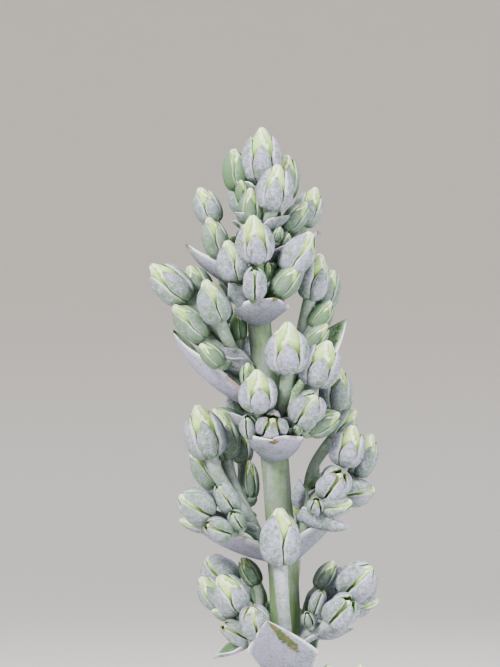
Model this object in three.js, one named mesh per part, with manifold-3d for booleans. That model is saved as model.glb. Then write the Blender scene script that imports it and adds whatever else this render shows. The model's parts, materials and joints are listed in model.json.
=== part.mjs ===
// A paddle plant in flower, a grey-green succulent dusted with white bloom, in a plain clay pot.
// Millimetres, +Z up, origin in the middle of the pot's underside. The front is -Y and the right is +X.
// The plant grows in pairs: each pair of leaves or bracts is a quarter turn round from the pair below.
import * as THREE from "three";
import { mergeVertices } from "three/addons/utils/BufferGeometryUtils.js";
import Module from "manifold-3d";

const wasm = await Module();
wasm.setup();

// Driving sizes
const POT = {
  height: 125,
  foot: 50,
  rim: 72,
  band: 27,
  wall: 7,
  floor: 9,
  drain: 7,
  step: 3.5,
  sides: 28,
};
const SOIL_TOP = 111;
const SPRAY_BASE = 375; // height of the node that carries the front bract of the lowest spray in view
const GAP = 0.3; // clearance between neighbouring pieces
const TOUCHING = 0.03; // corners nearer than this count as meeting
const SHORTEST = 1; // edges of the sprays shorter than this are drawn together
const LOBE_DIP = 0.9; // radius of a bud in the groove between two sepals, as a share of its full radius
const YOUNG = 6.6; // buds shorter than this are still closed and four-sided
const SMALLEST_BUD = 4; // buds shorter than this are left out of the solids
const TO_RAD = Math.PI / 180;

const COLOURS = {
  clay: 0xb0694a,
  soil: 0x4a3a2e,
  stem: 0xb4c4b0,
  leaf: 0xaebfa8,
  bract: 0xc2c6cc,
  buds: 0xc6d0c6,
};

// The stem, bottom to top: height, sideways drift and radius
const STEM = [
  [58, 0, 6.0],
  [84, 0, 7.6],
  [111, 0, 8.8],
  [150, 0, 9.0],
  [190, 0.3, 8.6],
  [230, 0.8, 7.6],
  [272, 1.5, 6.6],
  [310, 2.3, 5.6],
  [342, 2.8, 4.6],
  [375, 2.6, 3.95],
  [404, 1.4, 3.6],
  [428, -0.5, 3.3],
  [441, -1.9, 3.1],
  [460.5, -4.3, 2.8],
  [468.6, -4.6, 2.5],
  [479, -4.0, 2.2],
  [488.5, -3.7, 1.8],
  [495, -3.6, 1.5],
];

// Which way a leaf, bract or spray points: degrees round from +X
const WAY = { right: 0, back: 90, left: 180, front: 270 };

// Leaf pairs, lowest first: height, side pair or front pair, length, width, thickness,
// rise of the blade at its foot, and how much more it rises towards its tip
const LEAF_PAIRS = [
  [119, "front", 92, 70, 6.5, 14, 10],
  [129, "left", 110, 84, 7, 22, 14],
  [142, "front", 112, 86, 7, 35, 10],
  [158, "left", 104, 78, 6.5, 47, 12],
  [180, "front", 88, 62, 6, 56, 8],
  [206, "left", 70, 46, 5.5, 58, 6],
  [238, "front", 54, 33, 4.6, 56, 6],
  [273, "left", 42, 24, 3.8, 54, 8],
];

// Bracts by level: height above SPRAY_BASE, then for each one its way, length, width, rise and bend
const BRACTS = {
  y: [-65, ["front", 32, 18, 34, 14], ["back", 32, 18, 34, 14]],
  z: [-33, ["left", 26, 16, 22, 22], ["right", 26, 16, 22, 22]],
  a: [0, ["front", 21, 17, 42, 12], ["back", 21, 16, 40, 12]],
  b: [29, ["left", 20, 15, 8, 30], ["right", 17.5, 14, 38, 12]],
  c: [53, ["front", 14.5, 14, 14, 12], ["back", 15, 13, 20, 14]],
  d: [65, ["left", 28, 13, 18, 46], ["right", 26, 12, 38, 20]],
  e: [85.5, ["front", 14, 14, 22, 14], ["back", 14, 13, 24, 16]],
  f: [93.6, ["left", 18.5, 10.5, 12, 44], ["right", 18, 9, 38, 14]],
};
const BRACT_THICK = 2.0;
// A stalk: its half width at its bud, how far it climbs before it bends and how far back along the bud's
// axis it bends, as shares of its length, and the length up to which it is drawn straight
const STALK = {
  thin: 0.8,
  perLength: 0.07,
  climb: 0.3,
  bend: 0.35,
  straight: 9,
};
// Where a spray's stalks part: this far out from the stem's side and this far above the bract's foot
const AXIL = { out: 1.4, up: 3.4 };
const BRACTEOLE = {
  at: 0.3,
  length: 8.5,
  width: 5.5,
  thick: 1.6,
  rise: 10,
  bend: 30,
};

// Flower buds of the sprays seen from the front. Each row is one bud:
// sideways place, place towards the front, and height above SPRAY_BASE of its foot; lean to the right and
// tip towards the front in degrees; length; girth; and the turn of its four sepals about its axis.
const CROWN = [
  [-3.6, 0.5, 118.5, 0, 8, 13.6, 9.2, 5],
  [-8.9, -1, 117, -8, 0, 10.4, 7.2, 25],
  [1.4, -2, 114.7, 6, 0, 11.3, 7.2, 20],
];
const SPRAY_G = [
  [-1.2, 7.5, 111.8, 8, 18, 11.3, 8.5, 0],
  [-6.5, 6, 108.5, 2, 15, 9, 5.6, 0],
  [-7.4, 3.5, 113.3, -12, 10, 6.3, 4, 40],
  [-0.2, 6, 104.4, 15, 20, 4, 2.8, 0],
  [1.2, 5, 103.4, 30, 20, 3.8, 2.6, 0],
];
const SPRAY_F_LEFT = [
  [-14.9, 2, 109, -23, 12, 9.4, 6.6, 20],
  [-13.2, 4, 100.8, -18, 8, 10.2, 6.4, 35],
];
const SPRAY_F_RIGHT = [
  [6, -1, 108.5, 20, 5, 10, 7, 10],
  [2, 3.5, 107.3, 38, 12, 8.6, 5.4, 0],
];
const SPRAY_E = [
  [-4.8, 10.5, 99.4, -6, 22, 11.7, 8.8, 5],
  [-9.8, 9, 95.3, -12, 18, 9.9, 7.6, 45],
  [2.2, 8, 97.2, 32, 15, 11.4, 8.2, 45],
  [-5.3, 11, 91.2, 0, 35, 8.2, 5.8, 45],
  [-0.5, 9, 91.7, 38, 15, 9.2, 6, 0],
  [-2.2, 7, 94, 0, 20, 6, 3.6, 45],
];
const SPRAY_D_LEFT = [
  [-20.9, 2, 90.5, -47, 5, 12.7, 8.6, 20],
  [-13.4, 8, 85.4, -20, 12, 10.8, 8, 45],
  [-16.8, 4, 81.6, -45, 10, 11.2, 6.8, 30],
  [-13.2, 7, 75.4, -45, 20, 7.5, 5, 20],
  [-17.3, -5, 90.7, -25, -5, 9.5, 7, 0],
  [-8.9, -1, 81, -5, 0, 7.7, 4.5, 45],
];
const SPRAY_D_RIGHT = [
  [7.7, 3, 90.7, 14, 5, 11.4, 7.4, 30],
  [10.8, -4, 88.8, 18, -5, 10, 6.6, 0],
  [8.4, 3, 84, 35, 5, 8, 5.2, 20],
  [6.7, 4, 78.7, 40, 10, 8.4, 5, 0],
];
const SPRAY_C = [
  [2.2, 13, 73.7, 0, 20, 12.5, 10, 5],
  [8.2, 10.5, 70.6, 20, 12, 11.4, 9.6, 5],
  [-4.3, 12.5, 65, -4, 25, 10.4, 8.8, 10],
  [5.5, 10, 62.4, 28, 47, 10.4, 8, 30],
  [-1.4, 9.5, 59.5, 5, 65, 8.5, 7, 0],
  [-6.2, 9, 58.6, -10, 40, 6.5, 4.6, 20],
  [-6.5, 8, 70.3, -5, 15, 6, 4.6, 0],
  [7.4, 8, 59.5, 58, 10, 8.8, 5.6, 0],
  [4.5, 10, 59.5, 20, 45, 3.6, 2.6, 0],
  [6.5, 10, 60, 30, 40, 3.2, 2.4, 0],
];
const SPRAY_C_BEHIND = [[14.2, -4.5, 63.3, 3, -2, 11.6, 8.4, 12]];
const SPRAY_B_LEFT = [
  [-15.6, 2, 53, -15, 5, 13.3, 9.6, 5],
  [-12, -4, 52, -8, -5, 11.5, 8, 20],
  [-14.4, -2, 45.8, -37, 0, 10.4, 6.4, 45],
  [-8.2, -8, 51, -3, 0, 8, 5.4, 0],
  [-6, -5, 42.7, -4, 0, 9.5, 4.2, 0],
  [-15.6, 8, 40.3, -58, 25, 9.9, 8.2, 40],
  [-9.8, 8, 40.8, -32, 22, 8.4, 5.6, 45],
  [-14.6, 5, 37.2, -80, 10, 8.8, 4.6, 0],
  [-11, 10, 36, -68, 30, 7.2, 5.6, 45],
  [-8.4, 10, 37.5, -30, 40, 5.5, 4.2, 45],
];
const SPRAY_B_RIGHT = [
  [15.6, 5, 51.4, 14, 12, 10.2, 8.2, 10],
  [18.7, -1, 48.5, 22, 0, 11, 7.6, 20],
  [13.4, -4, 57.1, 38, 0, 9.3, 6.4, 30],
  [11.8, 8, 44.6, 28, 47, 9.8, 7.6, 35],
  [11, 9, 42.2, 78, 35, 8, 5.8, 45],
  [9, 9.5, 41, 0, 50, 4.8, 4.2, 0],
  [15.1, 3, 44.2, 80, 0, 8.8, 6.8, 45],
];
const SPRAY_A = [
  [0.7, 12.5, 29, -1, 8, 13.4, 10, 45],
  [-8.9, 7, 17.3, -28, 25, 11.1, 8.6, 30],
  [-12.5, 2, 17.5, -38, 10, 9.5, 7, 0],
  [-4.6, 10, 12.5, -12, 40, 9.4, 7.4, 45],
  [-8.9, 5, 15.6, -75, 10, 7, 4, 45],
  [-6.5, 8, 10.8, -58, 25, 8.2, 5.6, 45],
  [-4.5, 9, 9, -20, 40, 4.5, 3.6, 0],
  [16.3, 5, 21.1, 40, 28, 10.6, 9, 35],
  [13, 10, 15.4, 35, 42, 9.4, 7.8, 30],
  [15.8, 4, 17, 73, 5, 8.9, 5.6, 45],
  [9.8, 3, 22, 30, 5, 7.8, 4.8, 0],
  [8.6, 7, 16.6, 18, 22, 6.6, 4, 45],
  [7.5, 8, 14, -10, 40, 4.4, 3.4, 0],
];
const SPRAY_Z_EXTRA = [
  [10.8, 4, -5.3, 8, 10, 10, 7, 20],
  [17, 3, -6, 17, 10, 10.8, 7.6, 0],
];
const SPRAY_Y = [
  [2.6, 10, -44, 0, 14, 10.4, 7, 0],
  [-4.5, 9, -50, -26, 18, 9, 6, 45],
  [9.5, 9, -50, 26, 18, 9, 6, 45],
  [-1, 11.5, -53.5, -10, 36, 8, 5.4, 0],
  [6, 11.5, -53.5, 12, 36, 8, 5.4, 0],
];

// Points and directions

const point = (x, y, z) => new THREE.Vector3(x, y, z);

// A straight-line reading of the stem's table at a height: [middle, radius].
function stemAt(z) {
  const last = STEM.length - 1;
  const above = STEM.findIndex((row) => row[0] >= z);
  const i = above === -1 ? last : Math.max(1, above);
  const [z0, x0, r0] = STEM[i - 1];
  const [z1, x1, r1] = STEM[i];
  const share = Math.min(1, Math.max(0, (z - z0) / (z1 - z0)));
  return [point(x0 + (x1 - x0) * share, 0, z), r0 + (r1 - r0) * share];
}

// The outward direction of a way, level with the ground.
function outward(way) {
  return point(Math.cos(WAY[way] * TO_RAD), Math.sin(WAY[way] * TO_RAD), 0);
}

// Closed surfaces

// A skin over rings with equal numbers of points, closed by a pole at each end.
function loft(start, rings, end) {
  const n = rings[0].length;
  const points = [start, ...rings.flat(), end];
  const last = points.length - 1;
  const index = [];
  for (let k = 0; k < n; k++) {
    const next = (k + 1) % n;
    index.push(0, 1 + next, 1 + k);
    for (let r = 0; r < rings.length - 1; r++) {
      const a = 1 + r * n;
      index.push(a + k, a + next, a + n + k);
      index.push(a + next, a + n + next, a + n + k);
    }
    const top = 1 + (rings.length - 1) * n;
    index.push(top + k, top + next, last);
  }
  const geometry = new THREE.BufferGeometry().setFromPoints(points);
  geometry.setIndex(index);
  return geometry;
}

function signedVolume(geometry) {
  const at = geometry.getAttribute("position");
  const index = geometry.index.array;
  const corner = (i) => new THREE.Vector3().fromBufferAttribute(at, index[i]);
  let sum = 0;
  for (let i = 0; i < index.length; i += 3) {
    sum += corner(i).dot(corner(i + 1).cross(corner(i + 2))) / 6;
  }
  return sum;
}

function solid(geometry) {
  const bare = new THREE.BufferGeometry();
  bare.setAttribute("position", geometry.getAttribute("position"));
  bare.setIndex(geometry.index);
  const merged = mergeVertices(bare, 1e-4);
  const triVerts = new Uint32Array(merged.index.array);
  if (signedVolume(merged) < 0) triVerts.reverse();
  const vertProperties = merged.getAttribute("position").array;
  return new wasm.Manifold(
    new wasm.Mesh({ numProp: 3, vertProperties, triVerts }),
  );
}

function geometryOf(made) {
  const mesh = made.getMesh();
  const geometry = new THREE.BufferGeometry();
  geometry.setAttribute(
    "position",
    new THREE.BufferAttribute(mesh.vertProperties, 3),
  );
  geometry.setIndex(new THREE.BufferAttribute(mesh.triVerts, 1));
  return geometry;
}

// Draws the two ends of each edge shorter than shortest together, where the surface stays one closed skin
// and no face near it turns far. It tidies the small facets where joined forms run into one another.
function drawTogether(made, shortest) {
  const mesh = made.getMesh();
  const points = Array.from({ length: mesh.numVert }, (_, i) =>
    new THREE.Vector3().fromArray(mesh.vertProperties, i * mesh.numProp),
  );
  const faces = Array.from({ length: mesh.numTri }, (_, i) => [
    ...mesh.triVerts.subarray(3 * i, 3 * i + 3),
  ]);
  const facesAt = points.map(() => new Set());
  faces.forEach((face, i) => face.forEach((v) => facesAt[v].add(i)));
  const normalOf = ([a, b, c], moved, to) => {
    const [p, q, r] = [a, b, c].map((v) => (v === moved ? to : points[v]));
    return q.clone().sub(p).cross(r.clone().sub(p));
  };
  const around = (v) =>
    new Set([...facesAt[v]].flatMap((i) => faces[i]).filter((w) => w !== v));

  // Moves vertex b onto vertex a, unless that would pinch or fold the skin.
  const pull = (a, b) => {
    const nearB = around(b);
    const shared = [...around(a)].filter((v) => nearB.has(v));
    if (shared.length !== 2) return false;
    const staying = [...facesAt[b]].filter((i) => !faces[i].includes(a));
    const turns = staying.some((i) => {
      const before = normalOf(faces[i]);
      const after = normalOf(faces[i], b, points[a]);
      return after.length() < 0.02 || before.normalize().dot(after.normalize()) < 0.8;
    });
    if (turns) return false;
    for (const i of facesAt[b]) {
      if (faces[i].includes(a)) {
        for (const v of faces[i]) if (v !== b) facesAt[v].delete(i);
        faces[i] = null;
      } else {
        faces[i] = faces[i].map((v) => (v === b ? a : v));
        facesAt[a].add(i);
      }
    }
    facesAt[b] = new Set();
    return true;
  };

  for (let pass = 0; pass < 4; pass++) {
    const edges = [];
    for (const face of faces) {
      if (!face) continue;
      face.forEach((v, i) => {
        const w = face[(i + 1) % 3];
        const long = points[v].distanceTo(points[w]);
        if (v < w && long < shortest) edges.push([long, v, w]);
      });
    }
    edges.sort((e, f) => e[0] - f[0]);
    for (const [, v, w] of edges) {
      if (facesAt[v].size && facesAt[w].size && around(v).has(w))
        pull(v, w) || pull(w, v);
    }
  }

  // Corners of the skin that meet at one place move a little way into the body, so it nowhere touches itself.
  const used = points.map((_, v) => v).filter((v) => facesAt[v].size);
  const inward = (v) => {
    const sum = point(0, 0, 0);
    for (const i of facesAt[v]) sum.sub(normalOf(faces[i]));
    return sum.normalize().multiplyScalar(TOUCHING);
  };
  const shifts = [];
  used.forEach((v, i) => {
    const meets = used.some(
      (w, j) => j !== i && points[v].distanceTo(points[w]) < TOUCHING,
    );
    if (meets) shifts.push([v, inward(v)]);
  });
  for (const [v, shift] of shifts) points[v] = points[v].clone().add(shift);

  const geometry = new THREE.BufferGeometry().setFromPoints(points);
  geometry.setIndex(faces.filter(Boolean).flat());
  return solid(geometry);
}

function largestPiece(made) {
  const pieces = made.decompose();
  return pieces.reduce((a, b) => (a.volume() >= b.volume() ? a : b));
}

// A ring of points about a middle, in the plane of two directions, at the radii that a function gives.
function ring(middle, across, up, sides, radiusAt) {
  return Array.from({ length: sides }, (_, k) => {
    const angle = (2 * Math.PI * k) / sides;
    const radius = radiusAt(angle);
    return middle
      .clone()
      .addScaledVector(across, Math.cos(angle) * radius)
      .addScaledVector(up, Math.sin(angle) * radius);
  });
}

// Pot and soil

// Radius of the pot's outer wall under the rim band, at a height.
function potWall(z) {
  return (
    POT.foot + ((POT.rim - POT.step - POT.foot) * z) / (POT.height - POT.band)
  );
}

function potInside(z) {
  return potWall(z) - POT.wall;
}

function pot() {
  const bandFoot = POT.height - POT.band;
  const inTop = potInside(POT.height);
  const profile = [
    [POT.drain, 0.8],
    [POT.drain + 0.8, 0],
    [POT.foot - 1.5, 0],
    [POT.foot, 1.5],
    [potWall(bandFoot), bandFoot],
    [POT.rim - 0.5, bandFoot + 0.8],
    [POT.rim, bandFoot + 3],
    [POT.rim + 1, POT.height - 2],
    [POT.rim - 0.8, POT.height],
    [inTop + 1.5, POT.height],
    [inTop, POT.height - 2],
    [potInside(POT.floor) + 1, POT.floor + 3],
    [potInside(POT.floor) - 3, POT.floor],
    [POT.drain, POT.floor],
    [POT.drain, 0.8],
  ].map(([r, z]) => new THREE.Vector2(r, z));
  const turned = new THREE.LatheGeometry(profile, POT.sides);
  turned.rotateX(Math.PI / 2);
  return solid(turned);
}

// Height of the soil at a radius and an angle: heaped a little round the stem, with shallow hollows.
function soilHeight(radius, angle) {
  const heap = 3 * Math.exp(-radius / 20);
  return (
    SOIL_TOP +
    heap +
    0.9 * Math.sin(3 * angle + radius / 9) * Math.min(1, radius / 20)
  );
}

function soil() {
  const sides = 20;
  const rings = [];
  const level = (radius, heightAt) =>
    Array.from({ length: sides }, (_, k) => {
      const angle = (2 * Math.PI * k) / sides;
      return point(
        radius * Math.cos(angle),
        radius * Math.sin(angle),
        heightAt(radius, angle),
      );
    });
  const foot = POT.floor + GAP;
  const flatInside = Math.cos(Math.PI / POT.sides); // the pot's inner wall is faceted
  rings.push(level(potInside(foot) * flatInside - 4, () => foot));
  rings.push(level(potInside(foot + 4) * flatInside - GAP, () => foot + 4));
  const edge = potInside(SOIL_TOP - 2) * flatInside - GAP;
  rings.push(level(edge, (r, a) => soilHeight(r, a) - 2));
  rings.push(level(edge - 3, soilHeight));
  rings.push(level(edge * 0.62, soilHeight));
  rings.push(level(edge * 0.32, soilHeight));
  const whole = solid(
    loft(point(0, 0, foot), rings, point(0, 0, soilHeight(0, 0))),
  );
  return whole.subtract(stem(GAP));
}

// Stem, leaves and bracts

function stem(grow) {
  const sides = 8;
  const rings = STEM.map(([z, x, r]) =>
    ring(
      point(x, 0, z),
      point(1, 0, 0),
      point(0, 1, 0),
      sides,
      () => r + grow,
    ),
  );
  const [footZ, footX] = STEM[0];
  const [tipZ, tipX] = STEM[STEM.length - 1];
  return solid(
    loft(
      point(footX, 0, footZ - 2 - grow),
      rings,
      point(tipX, 0, tipZ + 1 + grow),
    ),
  );
}

// Outlines of a blade: its half width at a share of its length, as a share of its greatest half width.
function paddle(t) {
  const neck = 0.3;
  const fullest = 0.64;
  if (t < fullest)
    return (
      neck + (1 - neck) * Math.pow(Math.sin((Math.PI / 2) * (t / fullest)), 1.6)
    );
  return Math.sqrt(1 - Math.pow((t - fullest) / (1 - fullest), 2.3));
}

function boat(t) {
  const neck = 0.55;
  const fullest = 0.48;
  if (t < fullest) return neck + (1 - neck) * (t / fullest);
  return Math.pow(1 - Math.pow((t - fullest) / (1 - fullest), 1.35), 0.9);
}

// A fleshy blade that leaves foot in an outward direction and curves upwards.
// cup lifts its margins, as a share of its half width.
function blade(shape, grow) {
  const {
    foot,
    out,
    length,
    width,
    thick,
    rise,
    bend,
    cup,
    outline,
    stations,
    sides,
  } = shape;
  const side = point(0, 0, 1).cross(out).normalize();
  const rings = [];
  const middle = foot.clone();
  let reached = 0;
  const walk = (t) => {
    const steps = 6;
    for (let i = 0; i < steps; i++) {
      const at = reached + ((t - reached) * (i + 0.5)) / steps;
      const angle = (rise + bend * at) * TO_RAD;
      const step = ((t - reached) / steps) * length;
      middle.addScaledVector(out, Math.cos(angle) * step);
      middle.z += Math.sin(angle) * step;
    }
    reached = t;
  };
  for (const t of stations) {
    walk(t);
    const angle = (rise + bend * t) * TO_RAD;
    const normal = out
      .clone()
      .multiplyScalar(-Math.sin(angle))
      .add(point(0, 0, Math.cos(angle)));
    const half = outline(t) * (width / 2) + grow;
    const deep = (thick / 2) * (1 - 0.45 * t) + grow;
    rings.push(
      Array.from({ length: sides }, (_, k) => {
        const turn = (2 * Math.PI * k) / sides;
        const across = Math.cos(turn);
        return middle
          .clone()
          .addScaledVector(side, across * half)
          .addScaledVector(
            normal,
            Math.sin(turn) * deep + cup * across * across * half,
          );
      }),
    );
  }
  walk(1);
  const tipAngle = (rise + bend) * TO_RAD;
  middle.addScaledVector(out, Math.cos(tipAngle) * grow);
  middle.z += Math.sin(tipAngle) * grow;
  return solid(loft(foot.clone().addScaledVector(out, -grow), rings, middle));
}

function leaf(row, way, grow) {
  const [z, , length, width, thick, rise, bend] = row;
  const [middle, radius] = stemAt(z);
  const out = outward(way);
  return blade(
    {
      foot: middle.addScaledVector(out, radius - 2.5),
      out,
      length: length + 2.5,
      width,
      thick,
      rise,
      bend,
      cup: 0.1,
      outline: paddle,
      stations: [0.01, 0.18, 0.38, 0.56, 0.72, 0.87, 0.97],
      sides: 6,
    },
    grow,
  );
}

function bract(level, row, grow) {
  const [way, length, width, rise, bend] = row;
  const [middle, radius] = stemAt(SPRAY_BASE + BRACTS[level][0]);
  const out = outward(way);
  return blade(
    {
      foot: middle.addScaledVector(out, radius - 1.2),
      out,
      length: length + 1.2,
      width,
      thick: BRACT_THICK,
      rise,
      bend,
      cup: 0.5,
      outline: boat,
      stations: [0.02, 0.22, 0.48, 0.74, 0.92],
      sides: 6,
    },
    grow,
  );
}

// Flower sprays

// The direction of a bud's axis from its lean and tip. turned is -1 for what faces the back.
function budAxis(lean, tip) {
  const up = Math.cos(tip * TO_RAD);
  return point(
    Math.sin(lean * TO_RAD) * up,
    -Math.sin(tip * TO_RAD),
    Math.cos(lean * TO_RAD) * up,
  );
}

// Joins a ring of points to the next one, which has as many points or twice as many or half as many.
// Where the counts differ, point k of the smaller ring stands by point 2k of the larger.
function skinBetween(index, first, firstCount, second, secondCount) {
  const n = Math.min(firstCount, secondCount);
  const fan = (inner, outer, turn) => {
    for (let k = 0; k < n; k++) {
      const next = (k + 1) % n;
      const [a, b] = [inner + k, inner + next];
      const [c, d, e] = [outer + 2 * k, outer + 2 * k + 1, outer + 2 * next];
      const faces = [[a, b, d], [a, d, c], [b, e, d]];
      for (const [i, j, l] of faces) index.push(...(turn ? [i, l, j] : [i, j, l]));
    }
  };
  if (secondCount > firstCount) return fan(first, second, false);
  if (secondCount < firstCount) return fan(second, first, true);
  for (let k = 0; k < n; k++) {
    const next = (k + 1) % n;
    index.push(first + k, first + next, second + k);
    index.push(first + next, second + next, second + k);
  }
}

function unevenLoft(start, rings, end) {
  const points = [start, ...rings.flat(), end];
  const index = [];
  const bottom = rings[0].length;
  for (let k = 0; k < bottom; k++)
    index.push(0, 1 + ((k + 1) % bottom), 1 + k);
  let first = 1;
  for (let i = 1; i < rings.length; i++) {
    const second = first + rings[i - 1].length;
    skinBetween(index, first, rings[i - 1].length, second, rings[i].length);
    first = second;
  }
  const top = rings[rings.length - 1].length;
  for (let k = 0; k < top; k++)
    index.push(first + k, first + ((k + 1) % top), points.length - 1);
  const geometry = new THREE.BufferGeometry().setFromPoints(points);
  geometry.setIndex(index);
  return geometry;
}

const footOf = (row) => point(row[0], -row[1], SPRAY_BASE + row[2]);

// The middle line of a bud's stalk: it leaves along one direction and bends into the bud's axis.
function stalkCurve(row, from, leaving) {
  const foot = footOf(row);
  const reach = from.distanceTo(foot);
  const first = from.clone().addScaledVector(leaving, STALK.climb * reach);
  const second = foot
    .clone()
    .addScaledVector(budAxis(row[3], row[4]), -STALK.bend * reach);
  return new THREE.CubicBezierCurve3(from, first, second, foot);
}

// One bud on its stalk, as a single skin. The stalk starts inside what it grows from and thickens
// towards the bud. The bud is four sepals round a pointed flower, in relief: full at the middle
// line of each sepal, drawn in at the grooves between them, and square where the sepals' tips lie
// against the flower.
function bud(row, curve, grow) {
  const [, , , lean, tip, length, girth, turn, facing = 1] = row;
  const axis = budAxis(lean, tip);
  const foot = footOf(row);
  const front = point(0, -facing, 0);
  const across = front
    .addScaledVector(axis, -front.dot(axis))
    .normalize()
    .applyAxisAngle(axis, turn * TO_RAD);
  const young = length < YOUNG;
  const corners = young ? 3 : 4;

  const stalkRing = (t, radius) => {
    const along = curve.getTangent(t);
    const side = across
      .clone()
      .addScaledVector(along, -across.dot(along))
      .normalize();
    const up = along.clone().cross(side);
    return ring(curve.getPoint(t), side, up, corners, () => radius + grow);
  };
  const neck = STALK.thin + STALK.perLength * length;
  const rings = [stalkRing(0, neck * 0.75)];
  if (curve.getLength() > STALK.straight)
    rings.push(stalkRing(0.5, neck * 0.9));
  rings.push(stalkRing(0.94, neck));

  const up = axis.clone().cross(across);
  const budRing = (sides, t, share, dip = 1) => {
    const middle = foot.clone().addScaledVector(axis, t * length);
    return ring(middle, across, up, sides, (angle) => {
      const groove = Math.abs(Math.cos(2 * angle)) < 0.5;
      return (girth / 2) * share * (groove ? dip : 1) + grow;
    });
  };
  if (young) rings.push(budRing(3, 0.25, 1.05), budRing(3, 0.7, 0.9));
  else
    rings.push(
      budRing(4, 0.1, 0.74),
      budRing(8, 0.42, 1.06, LOBE_DIP),
      budRing(4, 0.8, 0.74),
    );
  const end = foot.clone().addScaledVector(axis, length + grow);
  const start = curve.getPoint(0).addScaledVector(curve.getTangent(0), -0.8 - grow);
  return solid(unevenLoft(start, rings, end));
}

// A small boat-shaped bract under a side branch, pointing the way that the branch spreads.
function bracteole(branch, grow) {
  const { at, length, width, thick, rise, bend } = BRACTEOLE;
  const along = branch.getTangent(at);
  const out = point(along.x, along.y, 0).normalize();
  return blade(
    {
      foot: branch.getPoint(at).addScaledVector(out, -0.5),
      out,
      length,
      width,
      thick,
      rise,
      bend,
      cup: 0.5,
      outline: boat,
      stations: [0.1, 0.5, 0.85],
      sides: 4,
    },
    grow,
  );
}

// A whole spray. Its first bud stands on its own stalk in the axil of the bract. To each side of it, the
// next bud's stalk is a branch, which carries a small bract and the stalks of the other buds of that side.
function spray(level, way, rows, grow) {
  const [middle, radius] = stemAt(SPRAY_BASE + level);
  const out = outward(way);
  const side = point(0, 0, 1).cross(out);
  const node = middle
    .clone()
    .addScaledVector(out, radius + AXIL.out)
    .add(point(0, 0, AXIL.up));
  const kept = rows.filter((row) => row[5] >= SMALLEST_BUD);
  const [leader, ...others] = kept;
  const sideOf = (row) =>
    point(row[0] - middle.x, -row[1], 0).dot(side) < 0 ? 0 : 1;
  const climbing = out.clone().multiplyScalar(0.3).add(point(0, 0, 1)).normalize();
  const parts = [bud(leader, stalkCurve(leader, node, climbing), grow)];
  for (const half of [0, 1]) {
    const [main, ...rest] = others.filter((row) => sideOf(row) === half);
    if (!main) continue;
    const sideStart = node.clone().addScaledVector(side, half ? 0.3 : -0.3);
    const branch = stalkCurve(main, sideStart, climbing);
    parts.push(bud(main, branch, grow));
    parts.push(bracteole(branch, grow));
    rest.forEach((row, i) => {
      const at = 0.35 + (0.4 * i) / rest.length;
      const stalk = stalkCurve(row, branch.getPoint(at), branch.getTangent(at));
      parts.push(bud(row, stalk, grow));
    });
  }
  return drawTogether(wasm.Manifold.union(parts), SHORTEST);
}

// A row of the front half turned half round the stem, to stand at the back.
function halfTurn(level) {
  const [middle] = stemAt(SPRAY_BASE + level);
  return ([x, toward, rise, lean, tip, ...rest]) => [
    2 * middle.x - x,
    -toward,
    rise,
    -lean,
    -tip,
    ...rest.slice(0, 3),
    -1,
  ];
}

// A row of a side spray carried from the front to the back, where it stands a little lower and smaller.
const mirror = ([x, toward, rise, lean, tip, length, girth, turn]) => [
  x + 0.4,
  -toward * 0.92,
  rise - 0.7,
  lean,
  -tip,
  length * 0.95,
  girth * 0.95,
  -turn,
  -1,
];

// A row of one level moved to another and made a little smaller about its node.
function moved(fromLevel, toLevel, share) {
  const [from] = stemAt(SPRAY_BASE + fromLevel);
  const [to] = stemAt(SPRAY_BASE + toLevel);
  return ([x, toward, rise, lean, tip, length, girth, ...rest]) => [
    to.x + (x - from.x) * share,
    toward * share,
    toLevel + (rise - fromLevel) * share,
    lean,
    tip,
    length * share,
    girth * share,
    ...rest,
  ];
}

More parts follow.
